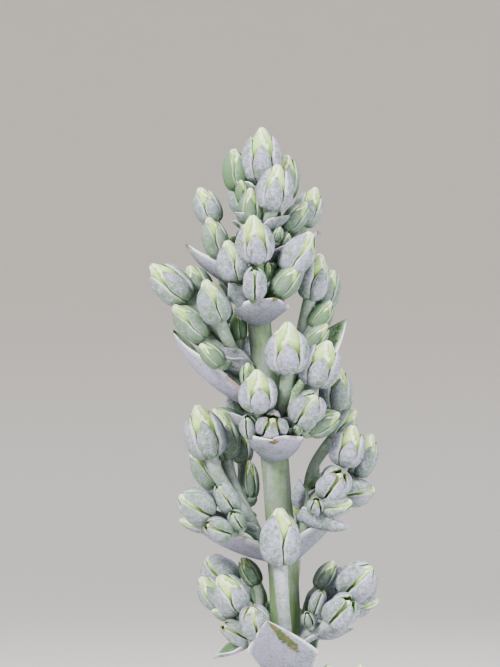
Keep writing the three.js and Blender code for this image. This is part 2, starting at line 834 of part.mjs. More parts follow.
const LEVEL = {
  y: -65,
  z: -33,
  a: 0,
  b: 29,
  c: 53,
  d: 66,
  e: 85.5,
  f: 93.6,
  g: 104,
  h: 113,
};
const LEAST_BEHIND = 7.5; // sprays that face away carry no young buds in the solids
const fullGrown = (row) => row[5] > LEAST_BEHIND;
const behind = (rows, level) => rows.filter(fullGrown).map(halfTurn(level));
const bLeft = [...SPRAY_B_LEFT, ...SPRAY_B_LEFT.slice(5, 8).map(mirror)];
const bRight = [...SPRAY_B_RIGHT, ...SPRAY_B_RIGHT.slice(3, 5).map(mirror)];
const below = (rows) => rows.filter(fullGrown).map(moved(LEVEL.b, LEVEL.z, 0.94));
const SPRAYS = {
  y_front: [LEVEL.y, "front", SPRAY_Y],
  y_back: [LEVEL.y, "back", behind(SPRAY_Y, LEVEL.y)],
  z_left: [LEVEL.z, "left", below(SPRAY_B_LEFT)],
  z_right: [LEVEL.z, "right", [...below(SPRAY_B_RIGHT), ...SPRAY_Z_EXTRA]],
  a_front: [LEVEL.a, "front", SPRAY_A],
  a_back: [LEVEL.a, "back", behind(SPRAY_A, LEVEL.a)],
  b_left: [LEVEL.b, "left", bLeft],
  b_right: [LEVEL.b, "right", bRight],
  c_front: [LEVEL.c, "front", SPRAY_C],
  c_back: [
    LEVEL.c,
    "back",
    [...behind(SPRAY_C, LEVEL.c), ...SPRAY_C_BEHIND],
  ],
  d_left: [
    LEVEL.d,
    "left",
    [...SPRAY_D_LEFT, ...SPRAY_D_LEFT.slice(1, 4).map(mirror)],
  ],
  d_right: [
    LEVEL.d,
    "right",
    [...SPRAY_D_RIGHT, ...SPRAY_D_RIGHT.slice(2, 4).map(mirror)],
  ],
  e_front: [LEVEL.e, "front", SPRAY_E],
  e_back: [LEVEL.e, "back", behind(SPRAY_E, LEVEL.e)],
  f_left: [
    LEVEL.f,
    "left",
    [...SPRAY_F_LEFT, ...SPRAY_F_LEFT.slice(1).map(mirror)],
  ],
  f_right: [
    LEVEL.f,
    "right",
    [...SPRAY_F_RIGHT, ...SPRAY_F_RIGHT.slice(1).map(mirror)],
  ],
  g_front: [LEVEL.g, "front", SPRAY_G],
  g_back: [LEVEL.g, "back", behind(SPRAY_G, LEVEL.g)],
  crown: [LEVEL.h, "front", CROWN],
};

// Assembly: each piece is cut back from the grown shapes of the pieces already there.

const group = new THREE.Group();
const placed = [];

function touches(a, b) {
  const p = a.boundingBox();
  const q = b.boundingBox();
  return [0, 1, 2].every((i) => p.min[i] <= q.max[i] && q.min[i] <= p.max[i]);
}

function place(name, colour, roughness, make) {
  let made = make(0);
  for (const other of placed)
    if (touches(made, other)) made = made.subtract(other);
  made = drawTogether(largestPiece(made), GAP / 2);
  placed.push(make(GAP));
  const material = new THREE.MeshStandardMaterial({
    color: colour,
    roughness,
    metalness: 0,
  });
  const mesh = new THREE.Mesh(geometryOf(made), material);
  mesh.name = name;
  group.add(mesh);
}

place("stem", COLOURS.stem, 0.7, stem);
const partner = { front: "back", left: "right" };
LEAF_PAIRS.forEach((row, i) => {
  for (const way of [row[1], partner[row[1]]]) {
    place(`leaf_${i + 1}_${way}`, COLOURS.leaf, 0.6, (grow) =>
      leaf(row, way, grow),
    );
  }
});
for (const [level, [, ...pair]] of Object.entries(BRACTS)) {
  for (const row of pair) {
    place(`bract_${level}_${row[0]}`, COLOURS.bract, 0.7, (grow) =>
      bract(level, row, grow),
    );
  }
}
for (const [name, [level, way, rows]] of Object.entries(SPRAYS)) {
  place(`spray_${name}`, COLOURS.buds, 0.75, (grow) =>
    spray(level, way, rows, grow),
  );
}

function addPlain(name, colour, roughness, made) {
  const material = new THREE.MeshStandardMaterial({
    color: colour,
    roughness,
    metalness: 0,
  });
  const mesh = new THREE.Mesh(geometryOf(made), material);
  mesh.name = name;
  group.add(mesh);
}

addPlain("pot", COLOURS.clay, 0.85, pot());
addPlain("soil", COLOURS.soil, 0.95, largestPiece(soil()));

export default group;
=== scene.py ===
# %% [markdown]
# # A potted paddle plant in flower
#
# A paddle plant is a grey-green succulent. In its last year it sends up a thick spike of pale buds, and
# stem, bracts and buds are all dusted with a white, mealy bloom. This lesson dresses the plain solids of
# the part with the finer shapes and the finishes of the real plant. The solids carry the sizes. Here each
# one is replaced by a piece that is made from the same values with many more faces.
#
# Lengths in the tables are millimetres, as in the part's source. Blender's own unit is the metre, so
# points are turned into metres in one place, where a mesh is made.

# %% Load the frame
import json
import math
import random

import bpy
import numpy as np
from mathutils import Matrix, Vector

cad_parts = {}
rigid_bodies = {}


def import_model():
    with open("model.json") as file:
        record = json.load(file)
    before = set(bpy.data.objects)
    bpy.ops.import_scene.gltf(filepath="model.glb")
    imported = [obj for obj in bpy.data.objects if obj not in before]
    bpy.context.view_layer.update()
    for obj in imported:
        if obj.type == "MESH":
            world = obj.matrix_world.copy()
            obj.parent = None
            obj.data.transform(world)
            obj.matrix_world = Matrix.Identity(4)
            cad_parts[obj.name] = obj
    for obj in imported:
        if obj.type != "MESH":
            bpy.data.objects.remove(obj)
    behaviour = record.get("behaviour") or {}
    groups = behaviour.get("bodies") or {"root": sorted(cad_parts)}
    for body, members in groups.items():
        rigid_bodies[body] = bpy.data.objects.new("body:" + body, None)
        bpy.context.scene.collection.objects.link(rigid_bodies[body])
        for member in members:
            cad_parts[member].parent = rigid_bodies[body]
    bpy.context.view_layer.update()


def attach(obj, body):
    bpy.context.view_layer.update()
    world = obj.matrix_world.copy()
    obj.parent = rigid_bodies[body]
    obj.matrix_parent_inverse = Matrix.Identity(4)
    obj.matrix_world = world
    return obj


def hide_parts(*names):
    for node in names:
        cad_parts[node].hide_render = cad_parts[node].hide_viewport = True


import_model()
MM = 0.001

# %% [markdown]
# ## The plan of the plant
#
# A paddle plant grows in pairs. Each pair of leaves or bracts stands crosswise to the pair below, and a
# spray of buds rises from the axil of each bract. The tables give the stem, the pairs and every bud. The
# tables could be read from the solids instead, but a table can be understood and changed.

# %% Stem, leaves and bracts
STEM = np.array([
    (58, 0, 6.0), (84, 0, 7.6), (111, 0, 8.8), (150, 0, 9.0), (190, 0.3, 8.6), (230, 0.8, 7.6),
    (272, 1.5, 6.6), (310, 2.3, 5.6), (342, 2.8, 4.6), (375, 2.6, 3.95), (404, 1.4, 3.6),
    (428, -0.5, 3.3), (441, -1.9, 3.1), (460.5, -4.3, 2.8), (468.6, -4.6, 2.5), (479, -4.0, 2.2),
    (488.5, -3.7, 1.8), (495, -3.6, 1.5),
])  # height, sideways drift, radius
SPRAY_BASE = 375  # height of the lowest spray that the main view shows
WAY = {"right": 0, "back": 90, "left": 180, "front": 270}
PARTNER = {"front": "back", "left": "right"}

# height, first leaf of the pair, length, width, thickness, rise at the foot, further rise towards the tip
LEAF_PAIRS = [
    (119, "front", 92, 70, 6.5, 14, 10),
    (129, "left", 110, 84, 7, 22, 14),
    (142, "front", 112, 86, 7, 35, 10),
    (158, "left", 104, 78, 6.5, 47, 12),
    (180, "front", 88, 62, 6, 56, 8),
    (206, "left", 70, 46, 5.5, 58, 6),
    (238, "front", 54, 33, 4.6, 56, 6),
    (273, "left", 42, 24, 3.8, 54, 8),
]

# level: height above SPRAY_BASE, then way, length, width, rise and bend of its two bracts
BRACTS = {
    "y": (-65, ("front", 32, 18, 34, 14), ("back", 32, 18, 34, 14)),
    "z": (-33, ("left", 26, 16, 22, 22), ("right", 26, 16, 22, 22)),
    "a": (0, ("front", 21, 17, 42, 12), ("back", 21, 16, 40, 12)),
    "b": (29, ("left", 20, 15, 8, 30), ("right", 17.5, 14, 38, 12)),
    "c": (53, ("front", 14.5, 14, 14, 12), ("back", 15, 13, 20, 14)),
    "d": (65, ("left", 28, 13, 18, 46), ("right", 26, 12, 38, 20)),
    "e": (85.5, ("front", 14, 14, 22, 14), ("back", 14, 13, 24, 16)),
    "f": (93.6, ("left", 18.5, 10.5, 12, 44), ("right", 18, 9, 38, 14)),
}
print("leaves:", 2 * len(LEAF_PAIRS), "bracts:", 2 * len(BRACTS))

# %% [markdown]
# ## The buds, one row each
#
# The main view shows each spray from the front, so its buds can be measured one by one. A row holds the
# foot's place sideways, towards the front and above SPRAY_BASE, then the lean to the right and the tip
# towards the front in degrees, the length, the girth, and the turn of the four sepals about the axis.

# %% Buds seen from the front
CROWN = [
    (-3.6, 0.5, 118.5, 0, 8, 13.6, 9.2, 5),
    (-8.9, -1, 117, -8, 0, 10.4, 7.2, 25),
    (1.4, -2, 114.7, 6, 0, 11.3, 7.2, 20),
]
SPRAY_G = [
    (-1.2, 7.5, 111.8, 8, 18, 11.3, 8.5, 0),
    (-6.5, 6, 108.5, 2, 15, 9, 5.6, 0),
    (-7.4, 3.5, 113.3, -12, 10, 6.3, 4, 40),
    (-0.2, 6, 104.4, 15, 20, 4, 2.8, 0),
    (1.2, 5, 103.4, 30, 20, 3.8, 2.6, 0),
]
SPRAY_F_LEFT = [
    (-14.9, 2, 109, -23, 12, 9.4, 6.6, 20),
    (-13.2, 4, 100.8, -18, 8, 10.2, 6.4, 35),
]
SPRAY_F_RIGHT = [
    (6, -1, 108.5, 20, 5, 10, 7, 10),
    (2, 3.5, 107.3, 38, 12, 8.6, 5.4, 0),
]
SPRAY_E = [
    (-4.8, 10.5, 99.4, -6, 22, 11.7, 8.8, 5),
    (-9.8, 9, 95.3, -12, 18, 9.9, 7.6, 45),
    (2.2, 8, 97.2, 32, 15, 11.4, 8.2, 45),
    (-5.3, 11, 91.2, 0, 35, 8.2, 5.8, 45),
    (-0.5, 9, 91.7, 38, 15, 9.2, 6, 0),
    (-2.2, 7, 94, 0, 20, 6, 3.6, 45),
]
SPRAY_D_LEFT = [
    (-20.9, 2, 90.5, -47, 5, 12.7, 8.6, 20),
    (-13.4, 8, 85.4, -20, 12, 10.8, 8, 45),
    (-16.8, 4, 81.6, -45, 10, 11.2, 6.8, 30),
    (-13.2, 7, 75.4, -45, 20, 7.5, 5, 20),
    (-17.3, -5, 90.7, -25, -5, 9.5, 7, 0),
    (-8.9, -1, 81, -5, 0, 7.7, 4.5, 45),
]
SPRAY_D_RIGHT = [
    (7.7, 3, 90.7, 14, 5, 11.4, 7.4, 30),
    (10.8, -4, 88.8, 18, -5, 10, 6.6, 0),
    (8.4, 3, 84, 35, 5, 8, 5.2, 20),
    (6.7, 4, 78.7, 40, 10, 8.4, 5, 0),
]
SPRAY_C = [
    (2.2, 13, 73.7, 0, 20, 12.5, 10, 5),
    (8.2, 10.5, 70.6, 20, 12, 11.4, 9.6, 5),
    (-4.3, 12.5, 65, -4, 25, 10.4, 8.8, 10),
    (5.5, 10, 62.4, 28, 47, 10.4, 8, 30),
    (-1.4, 9.5, 59.5, 5, 65, 8.5, 7, 0),
    (-6.2, 9, 58.6, -10, 40, 6.5, 4.6, 20),
    (-6.5, 8, 70.3, -5, 15, 6, 4.6, 0),
    (7.4, 8, 59.5, 58, 10, 8.8, 5.6, 0),
    (4.5, 10, 59.5, 20, 45, 3.6, 2.6, 0),
    (6.5, 10, 60, 30, 40, 3.2, 2.4, 0),
]
SPRAY_C_BEHIND = [(14.2, -4.5, 63.3, 3, -2, 11.6, 8.4, 12)]
SPRAY_B_LEFT = [
    (-15.6, 2, 53, -15, 5, 13.3, 9.6, 5),
    (-12, -4, 52, -8, -5, 11.5, 8, 20),
    (-14.4, -2, 45.8, -37, 0, 10.4, 6.4, 45),
    (-8.2, -8, 51, -3, 0, 8, 5.4, 0),
    (-6, -5, 42.7, -4, 0, 9.5, 4.2, 0),
    (-15.6, 8, 40.3, -58, 25, 9.9, 8.2, 40),
    (-9.8, 8, 40.8, -32, 22, 8.4, 5.6, 45),
    (-14.6, 5, 37.2, -80, 10, 8.8, 4.6, 0),
    (-11, 10, 36, -68, 30, 7.2, 5.6, 45),
    (-8.4, 10, 37.5, -30, 40, 5.5, 4.2, 45),
]
SPRAY_B_RIGHT = [
    (15.6, 5, 51.4, 14, 12, 10.2, 8.2, 10),
    (18.7, -1, 48.5, 22, 0, 11, 7.6, 20),
    (13.4, -4, 57.1, 38, 0, 9.3, 6.4, 30),
    (11.8, 8, 44.6, 28, 47, 9.8, 7.6, 35),
    (11, 9, 42.2, 78, 35, 8, 5.8, 45),
    (9, 9.5, 41, 0, 50, 4.8, 4.2, 0),
    (15.1, 3, 44.2, 80, 0, 8.8, 6.8, 45),
]
SPRAY_A = [
    (0.7, 12.5, 29, -1, 8, 13.4, 10, 45),
    (-8.9, 7, 17.3, -28, 25, 11.1, 8.6, 30),
    (-12.5, 2, 17.5, -38, 10, 9.5, 7, 0),
    (-4.6, 10, 12.5, -12, 40, 9.4, 7.4, 45),
    (-8.9, 5, 15.6, -75, 10, 7, 4, 45),
    (-6.5, 8, 10.8, -58, 25, 8.2, 5.6, 45),
    (-4.5, 9, 9, -20, 40, 4.5, 3.6, 0),
    (16.3, 5, 21.1, 40, 28, 10.6, 9, 35),
    (13, 10, 15.4, 35, 42, 9.4, 7.8, 30),
    (15.8, 4, 17, 73, 5, 8.9, 5.6, 45),
    (9.8, 3, 22, 30, 5, 7.8, 4.8, 0),
    (8.6, 7, 16.6, 18, 22, 6.6, 4, 45),
    (7.5, 8, 14, -10, 40, 4.4, 3.4, 0),
]
SPRAY_Z_EXTRA = [
    (10.8, 4, -5.3, 8, 10, 10, 7, 20),
    (17, 3, -6, 17, 10, 10.8, 7.6, 0),
]
SPRAY_Y = [
    (2.6, 10, -44, 0, 14, 10.4, 7, 0),
    (-4.5, 9, -50, -26, 18, 9, 6, 45),
    (9.5, 9, -50, 26, 18, 9, 6, 45),
    (-1, 11.5, -53.5, -10, 36, 8, 5.4, 0),
    (6, 11.5, -53.5, 12, 36, 8, 5.4, 0),
]

# %% [markdown]
# ## The same spray on the far side
#
# The back of the spike isn't in view. A paddle plant's two halves are alike, so a back spray is its front
# one turned half round the stem, and a side spray gets a smaller copy of some of its buds behind. The
# lowest sprays repeat the ones above them a little smaller. Placing the far buds by chance would also do,
# but these rules are the ones that the solids follow, and both have to agree.

# %% Sprays of the whole spike
LEVEL = {"y": -65, "z": -33, "a": 0, "b": 29, "c": 53, "d": 66, "e": 85.5, "f": 93.6, "g": 104, "h": 113}
FULL_GROWN = 7.5  # a shorter bud isn't repeated on the far side in the solids


def stem_at(z):
    """The stem's middle and radius at a height."""
    return np.array([np.interp(z, STEM[:, 0], STEM[:, 1]), 0.0, z]), np.interp(z, STEM[:, 0], STEM[:, 2])


def half_turn(rows, level):
    middle, _ = stem_at(SPRAY_BASE + level)
    return [
        (2 * middle[0] - x, -toward, rise, -lean, -tip, long, girth, turn, -1)
        for x, toward, rise, lean, tip, long, girth, turn in rows
    ]


def mirrored(rows):
    return [
        (x + 0.4, -toward * 0.92, rise - 0.7, lean, -tip, long * 0.95, girth * 0.95, -turn, -1)
        for x, toward, rise, lean, tip, long, girth, turn in rows
    ]


def lowered(rows, share=0.94):
    """Rows of level b carried down to level z."""
    start, _ = stem_at(SPRAY_BASE + LEVEL["b"])
    end, _ = stem_at(SPRAY_BASE + LEVEL["z"])
    return [
        (end[0] + (x - start[0]) * share, toward * share, LEVEL["z"] + (rise - LEVEL["b"]) * share,
         lean, tip, long * share, girth * share, turn)
        for x, toward, rise, lean, tip, long, girth, turn in rows
        if long > FULL_GROWN
    ]


SPRAYS = {
    "y_front": ("y", "front", SPRAY_Y),
    "y_back": ("y", "back", half_turn(SPRAY_Y, LEVEL["y"])),
    "z_left": ("z", "left", lowered(SPRAY_B_LEFT)),
    "z_right": ("z", "right", lowered(SPRAY_B_RIGHT) + SPRAY_Z_EXTRA),
    "a_front": ("a", "front", SPRAY_A),
    "a_back": ("a", "back", half_turn(SPRAY_A, LEVEL["a"])),
    "b_left": ("b", "left", SPRAY_B_LEFT + mirrored(SPRAY_B_LEFT[5:8])),
    "b_right": ("b", "right", SPRAY_B_RIGHT + mirrored(SPRAY_B_RIGHT[3:5])),
    "c_front": ("c", "front", SPRAY_C),
    "c_back": ("c", "back", half_turn(SPRAY_C, LEVEL["c"]) + SPRAY_C_BEHIND),
    "d_left": ("d", "left", SPRAY_D_LEFT + mirrored(SPRAY_D_LEFT[1:4])),
    "d_right": ("d", "right", SPRAY_D_RIGHT + mirrored(SPRAY_D_RIGHT[2:4])),
    "e_front": ("e", "front", SPRAY_E),
    "e_back": ("e", "back", half_turn(SPRAY_E, LEVEL["e"])),
    "f_left": ("f", "left", SPRAY_F_LEFT + mirrored(SPRAY_F_LEFT[1:])),
    "f_right": ("f", "right", SPRAY_F_RIGHT + mirrored(SPRAY_F_RIGHT[1:])),
    "g_front": ("g", "front", SPRAY_G),
    "g_back": ("g", "back", half_turn(SPRAY_G, LEVEL["g"])),
    "crown": ("h", "front", CROWN),
}
print("sprays:", len(SPRAYS), "buds:", sum(len(rows) for _, _, rows in SPRAYS.values()))

# %% [markdown]
# ## Skins
#
# Everything that grows here is round in section: a stem, a stalk, a leaf, a sepal. So one way of
# making a surface serves them all: rings of points along a middle line, joined by quads and closed by a
# point at each end. Each point also carries numbers that the finishes read later: how far along it is,
# whether it lies on a rim, and how much painted shade it gets in grooves and recesses. On a blade this
# last number marks the inner face instead, where the bloom is thin, and on the stem the foot by the soil,
# which is browned. Modelling by hand would suit one hero leaf, but not 19 sprays that must follow their
# rows.

# %% A skin over rings
# The fourth value paints shade in the grooves and recesses of buds and stalks. On blades it marks the inner
# face, whose bloom is thin, and on the stem the browned foot by the soil.
PAINT = ("part", "along", "rim", "hidden", "scar")


def loft(start, rings, end):
    """Points and faces of a closed skin over rings with equal numbers of points. Faces point outwards."""
    rings = np.asarray(rings, float)
    count, sides = rings.shape[:2]
    points = np.vstack([[start], rings.reshape(-1, 3), [end]])
    last = len(points) - 1
    faces = []
    for k in range(sides):
        nxt = (k + 1) % sides
        faces.append((0, 1 + nxt, 1 + k))
        faces.append((last - sides + k, last - sides + nxt, last))
    for r in range(count - 1):
        for k in range(sides):
            a = 1 + r * sides + k
            b = 1 + r * sides + (k + 1) % sides
            faces.append((a, b, b + sides, a + sides))
    around = points[[f[0] for f in faces]], points[[f[1] for f in faces]], points[[f[2] for f in faces]]
    if np.einsum("ij,ij->", around[0], np.cross(around[1], around[2])) < 0:
        faces = [f[::-1] for f in faces]
    return points, faces


class Skin:
    """Gathers closed skins and their painted values into one mesh."""

    def __init__(self):
        self.points = []
        self.faces = []
        self.paint = {key: [] for key in PAINT}
        self.count = 0

    def add(self, points, faces, **paint):
        self.points.append(points)
        self.faces += [tuple(i + self.count for i in f) for f in faces]
        for key in PAINT:
            self.paint[key].append(np.broadcast_to(paint.get(key, 0.0), len(points)))
        self.count += len(points)

    def mesh(self, name):
        made = bpy.data.meshes.new(name)
        made.from_pydata((np.vstack(self.points) * MM).tolist(), [], self.faces)
        for key in PAINT:
            layer = made.attributes.new(key, "FLOAT", "POINT")
            layer.data.foreach_set("value", np.concatenate(self.paint[key]).astype(np.float32))
        made.shade_smooth()
        return made


def unit(v):
    return v / np.linalg.norm(v)


def smooth(x, low, high):
    """0 under low, 1 over high, and an even curve between them."""
    t = np.clip((x - low) / (high - low), 0, 1)
    return t * t * (3 - 2 * t)


def spread(values, sides):
    """One value for each ring, repeated for its points, with those of the two end points."""
    values = np.asarray(values, float)
    return np.concatenate([[values[0]], np.repeat(values, sides), [values[-1]]])


def tube(middle, radii, sides, wobble=None):
    """A closed skin along a line of points, with its own radius at each."""
    middle = np.asarray(middle, float)
    along = np.gradient(middle, axis=0)
    side = np.cross(along[0], (0.3, 1, 0.2))
    turn = np.arange(sides) * 2 * math.pi / sides
    rings = []
    for i, (p, t) in enumerate(zip(middle, along)):
        t = unit(t)
        side = unit(side - t * side.dot(t))
        up = np.cross(t, side)
        r = radii[i] * (1 if wobble is None else wobble(p, turn))
        rings.append(p + np.outer(np.cos(turn) * r, side) + np.outer(np.sin(turn) * r, up))
    bulge = 0.3 * min(radii[0], radii[-1])
    return loft(middle[0] - unit(along[0]) * bulge, rings, middle[-1] + unit(along[-1]) * bulge)


# %% [markdown]
# ## Stem
#
# The stem is a fleshy rod, thick below and thin above. It swells a little where each pair of leaves
# or bracts joins it. Its table is read every 1.5 mm and evened out, so that the straight stretches of the
# solid turn into one smooth sweep.

# %% Make the stem
STEM_SIDES = 40
stem_z = np.arange(57, 495.5, 1.5)


def evened(values, window=13):
    """Values along a line with their corners taken off by a moving average."""
    kernel = np.hanning(window) / np.hanning(window).sum()
    return np.convolve(np.pad(values, window // 2, mode="edge"), kernel, mode="valid")


def stem_wobble(p, turn):
    return 1 + 0.02 * np.sin(3 * turn + p[2] / 14) + 0.012 * np.sin(7 * turn - p[2] / 5)


stem_x = evened([stem_at(z)[0][0] for z in stem_z])
stem_r = evened([stem_at(z)[1] for z in stem_z]) * 0.97
for z in [row[0] for row in LEAF_PAIRS] + [SPRAY_BASE + row[0] for row in BRACTS.values()]:
    stem_r += 0.05 * stem_r * np.exp(-(((stem_z - z) / 3.5) ** 2))
stem_skin = Skin()
points, faces = tube(np.column_stack([stem_x, 0 * stem_x, stem_z]), stem_r, STEM_SIDES, stem_wobble)
share = spread((stem_z - stem_z[0]) / (stem_z[-1] - stem_z[0]), STEM_SIDES)
above_soil = smooth(spread(stem_z, STEM_SIDES), 108, 122)
# The stem's foot by the soil is browner and less dusted
stem_skin.add(points, faces, part=0, along=share, hidden=0.6 * (1 - above_soil))
stem_mesh = stem_skin.mesh("stem")
print("stem:", len(stem_mesh.polygons), "faces")

# %% [markdown]
# ## Leaves and bracts
#
# A paddle leaf is a thick, flat blade with a round end, and a bract is a small, cupped, pointed one. Both
# leave the stem at an angle and curve upwards, so one function walks along the middle line and lays a
# flattened ring across it. An outline gives the width at each step. The real leaves are never quite
# flat, so the margins get a slow wave of a fraction of a millimetre.

# %% Outlines of blades
# Each gives the width at a place along the blade, from 0 at the foot to 1 at the tip


def paddle(t):
    neck, fullest = 0.3, 0.64
    if t < fullest:
        return neck + (1 - neck) * math.sin(math.pi / 2 * t / fullest) ** 1.6
    return math.sqrt(max(0, 1 - ((t - fullest) / (1 - fullest)) ** 2.3))


def boat(t, neck=0.72):
    fullest = 0.48
    if t < fullest:
        return neck + (1 - neck) * math.sin(math.pi / 2 * t / fullest) ** 0.8
    return max(0, 1 - ((t - fullest) / (1 - fullest)) ** 1.4) ** 0.8


def kite(t):
    neck, fullest = 0.5, 0.5
    if t < fullest:
        return neck + (1 - neck) * t / fullest
    return max(0, 1 - ((t - fullest) / (1 - fullest)) ** 1.15) ** 0.85


# %% A fleshy blade
def blade(
    foot, out, long, wide, thick, rise, bend, cup, outline,
    steps=28, sides=24, wave=0.0, seed=0, skew=0.0, roll=0.0, scar=None,
):
    """A closed skin of a blade that leaves foot in an outward direction, with its painted values."""
    level_side = unit(np.cross((0, 0, 1), out))
    roll = math.radians(roll)
    turn = np.arange(sides) * 2 * math.pi / sides
    across = np.sign(np.cos(turn)) * np.abs(np.cos(turn)) ** 0.85
    up = np.sign(np.sin(turn)) * np.abs(np.sin(turn)) ** 0.85
    dice = random.Random(seed)
    waves = [(dice.uniform(2, 5), dice.uniform(0, 6.3), dice.uniform(0.4, 1)) for _ in range(3)]
    stations = (1 - np.cos(np.linspace(0.07, math.pi - 0.07, steps))) / 2
    middle = np.array(foot, float)
    reached, rings, paint = 0.0, [], {"along": [], "rim": [], "hidden": [], "scar": []}
    for t in stations:
        for i in range(6):
            angle = math.radians(rise + bend * (reached + (t - reached) * (i + 0.5) / 6))
            ahead = out * math.cos(angle) + np.array([0, 0, math.sin(angle)])
            middle = middle + ahead * (t - reached) / 6 * long
        reached = t
        angle = math.radians(rise + bend * t)
        upward = -out * math.sin(angle) + np.array([0, 0, math.cos(angle)])
        side = level_side * math.cos(roll) + upward * math.sin(roll)
        normal = upward * math.cos(roll) - level_side * math.sin(roll)
        half = outline(t) * wide / 2
        deep = thick / 2 * (1 - 0.45 * t) * min(1, 1.6 * (1 - t) ** 0.45 + 0.1)
        ripple = wave * sum(a * math.sin(f * t * 2.2 + p) for f, p, a in waves) * across * np.abs(across)
        lift = up * deep * 0.94 + cup * across**2 * half + ripple
        drift = side * skew * t * t
        rings.append(middle + drift + np.outer(across * half, side) + np.outer(lift, normal))
        paint["along"].append(np.full(sides, t))
        paint["rim"].append(smooth(np.abs(across), 0.86, 1.0) * (1 - 0.6 * smooth(-up, 0.2, 0.8)))
        # The inner face, whose bloom is thin: its own colour
        paint["hidden"].append(smooth(up, 0.1, 0.7))
        paint["scar"].append(scar(t, across) + 0 * turn if scar else 0 * turn)
    last = math.radians(rise + bend)
    ahead = out * math.cos(last) + np.array([0, 0, math.sin(last)])
    tip = middle + ahead * ((1 - reached) * long) + side * skew
    points, faces = loft(np.array(foot) - out * 0.2, rings, tip)
    paint = {key: np.concatenate([[rows[0][0]], *rows, [rows[-1][0]]]) for key, rows in paint.items()}
    paint["rim"][-1] = 1
    return points, faces, paint


def outward(way):
    return np.array([math.cos(math.radians(WAY[way])), math.sin(math.radians(WAY[way])), 0.0])


# %% Make the leaves
leaf_meshes = {}
for number, (z, first, long, wide, thick, rise, bend) in enumerate(LEAF_PAIRS, 1):
    for way in (first, PARTNER[first]):
        middle, radius = stem_at(z)
        out = outward(way)
        skin = Skin()
        points, faces, paint = blade(
            middle + out * (radius - 2.5), out, long + 2.5, wide, thick, rise, bend, 0.1, paddle,
            steps=40, sides=36, wave=0.9, seed=number * 7 + WAY[way],
        )
        skin.add(points, faces, part=0, **paint)
        name = f"leaf_{number}_{way}"
        leaf_meshes[name] = skin.mesh(name)
print("leaves:", len(leaf_meshes), "faces each:", len(leaf_meshes["leaf_1_front"].polygons))

# %% Traits of single bracts
# What the bracts in view show one by one: how far the tip strays sideways, how cupped they are, how they
# are rolled, and where they are scarred, as a rule of the place along (t) and across (a, -1 to 1)


def tip_scar(low, high, strength):
    return lambda t, a: smooth(t, low, high) * strength


def long_scar(t, a):
    breadth = 0.1 + abs(t - 0.5)
    return smooth(t, 0.5, 0.62) * (1 - smooth(np.abs(a - 0.45) / breadth, 0.4, 0.9))


def middle_scar(t, a):
    return smooth(t, 0.86, 0.93) * (1 - smooth(np.abs(a), 0.4, 0.8))


def corner_scar(t, a):
    return smooth(t, 0.88, 0.97) * smooth(a, -0.6, 0.4) * 0.8


def wide_boat(t):
    return boat(t, 0.4)


BRACT_TRAITS = {
    "a_front": dict(skew=-5.0, cup=0.08, outline=kite, scar=long_scar),
    "c_front": dict(skew=-0.6, scar=middle_scar),
    "e_front": dict(
        long=13.6, rise=17.0, wide=13.0, skew=3.2, cup=0.22, outline=wide_boat, scar=corner_scar,
    ),
    "d_left": dict(scar=tip_scar(0.92, 1.0, 0.6)),
    "d_right": dict(rise=42.0, wide=14.5, cup=0.3, roll=34.0, scar=tip_scar(0.93, 1.0, 0.5)),
    "f_left": dict(scar=tip_scar(0.86, 0.97, 0.55)),
    "f_right": dict(roll=20.0, scar=tip_scar(0.88, 1.0, 0.45)),
}

# %% Make the bracts
bract_meshes = {}
for level, (height, *pair) in BRACTS.items():
    for way, long, wide, rise, bend in pair:
        middle, radius = stem_at(SPRAY_BASE + height)
        out = outward(way)
        skin = Skin()
        traits = dict(long=long + 1.2, wide=wide, rise=rise, bend=bend, cup=0.5, outline=boat)
        traits.update(BRACT_TRAITS.get(f"{level}_{way}", {}))
        points, faces, paint = blade(
            middle + out * (radius - 1.2), out, thick=2.5, steps=34, sides=32, wave=0.3,
            seed=ord(level) * 3 + WAY[way], **traits,
        )
        skin.add(points, faces, part=0, **paint)
        name = f"bract_{level}_{way}"
        bract_meshes[name] = skin.mesh(name)
print("bracts:", len(bract_meshes), "faces each:", len(bract_meshes["bract_a_front"].polygons))

# %% [markdown]
# ## A bud
#
# A bud is a closed, four-cornered flower held by four thick sepals. Each sepal is a pointed shield that
# stands proud of the flower, with a narrow groove to its neighbour. There are about 140 buds, so
# a handful of models are made in a unit space, one long and one thick, and repeated. Each model differs a
# little in the length, the fullness and the set of its sepals, as no two real buds are alike.

# %% Sepals and flower of a bud
# height, outer radius at the middle line, half width in degrees, thickness
OUTER_SEPAL = np.array([
    (0.000, 0.150, 14, 0.05), (0.015, 0.265, 20, 0.09), (0.045, 0.360, 25, 0.12),
    (0.090, 0.430, 29.5, 0.14), (0.160, 0.490, 33.5, 0.155), (0.250, 0.532, 35.5, 0.165),
    (0.340, 0.550, 35.5, 0.165), (0.430, 0.548, 33.5, 0.16), (0.500, 0.530, 30, 0.15),
    (0.560, 0.503, 24.5, 0.135), (0.610, 0.470, 18, 0.12), (0.650, 0.437, 11.5, 0.095),
    (0.680, 0.408, 6, 0.07), (0.700, 0.385, 2.5, 0.045),
])
INNER_SEPAL = np.array([
    (0.000, 0.150, 55, 0.05), (0.015, 0.250, 60, 0.09), (0.045, 0.345, 60, 0.12),
    (0.090, 0.415, 57, 0.14), (0.160, 0.470, 53.5, 0.155), (0.250, 0.508, 51, 0.16),
    (0.350, 0.525, 51, 0.16), (0.450, 0.522, 51, 0.155), (0.540, 0.503, 49.5, 0.15),
    (0.620, 0.470, 46, 0.14), (0.690, 0.425, 40, 0.125), (0.740, 0.378, 32, 0.105),
    (0.780, 0.332, 21, 0.08), (0.805, 0.298, 10, 0.055), (0.820, 0.272, 4, 0.035),
])
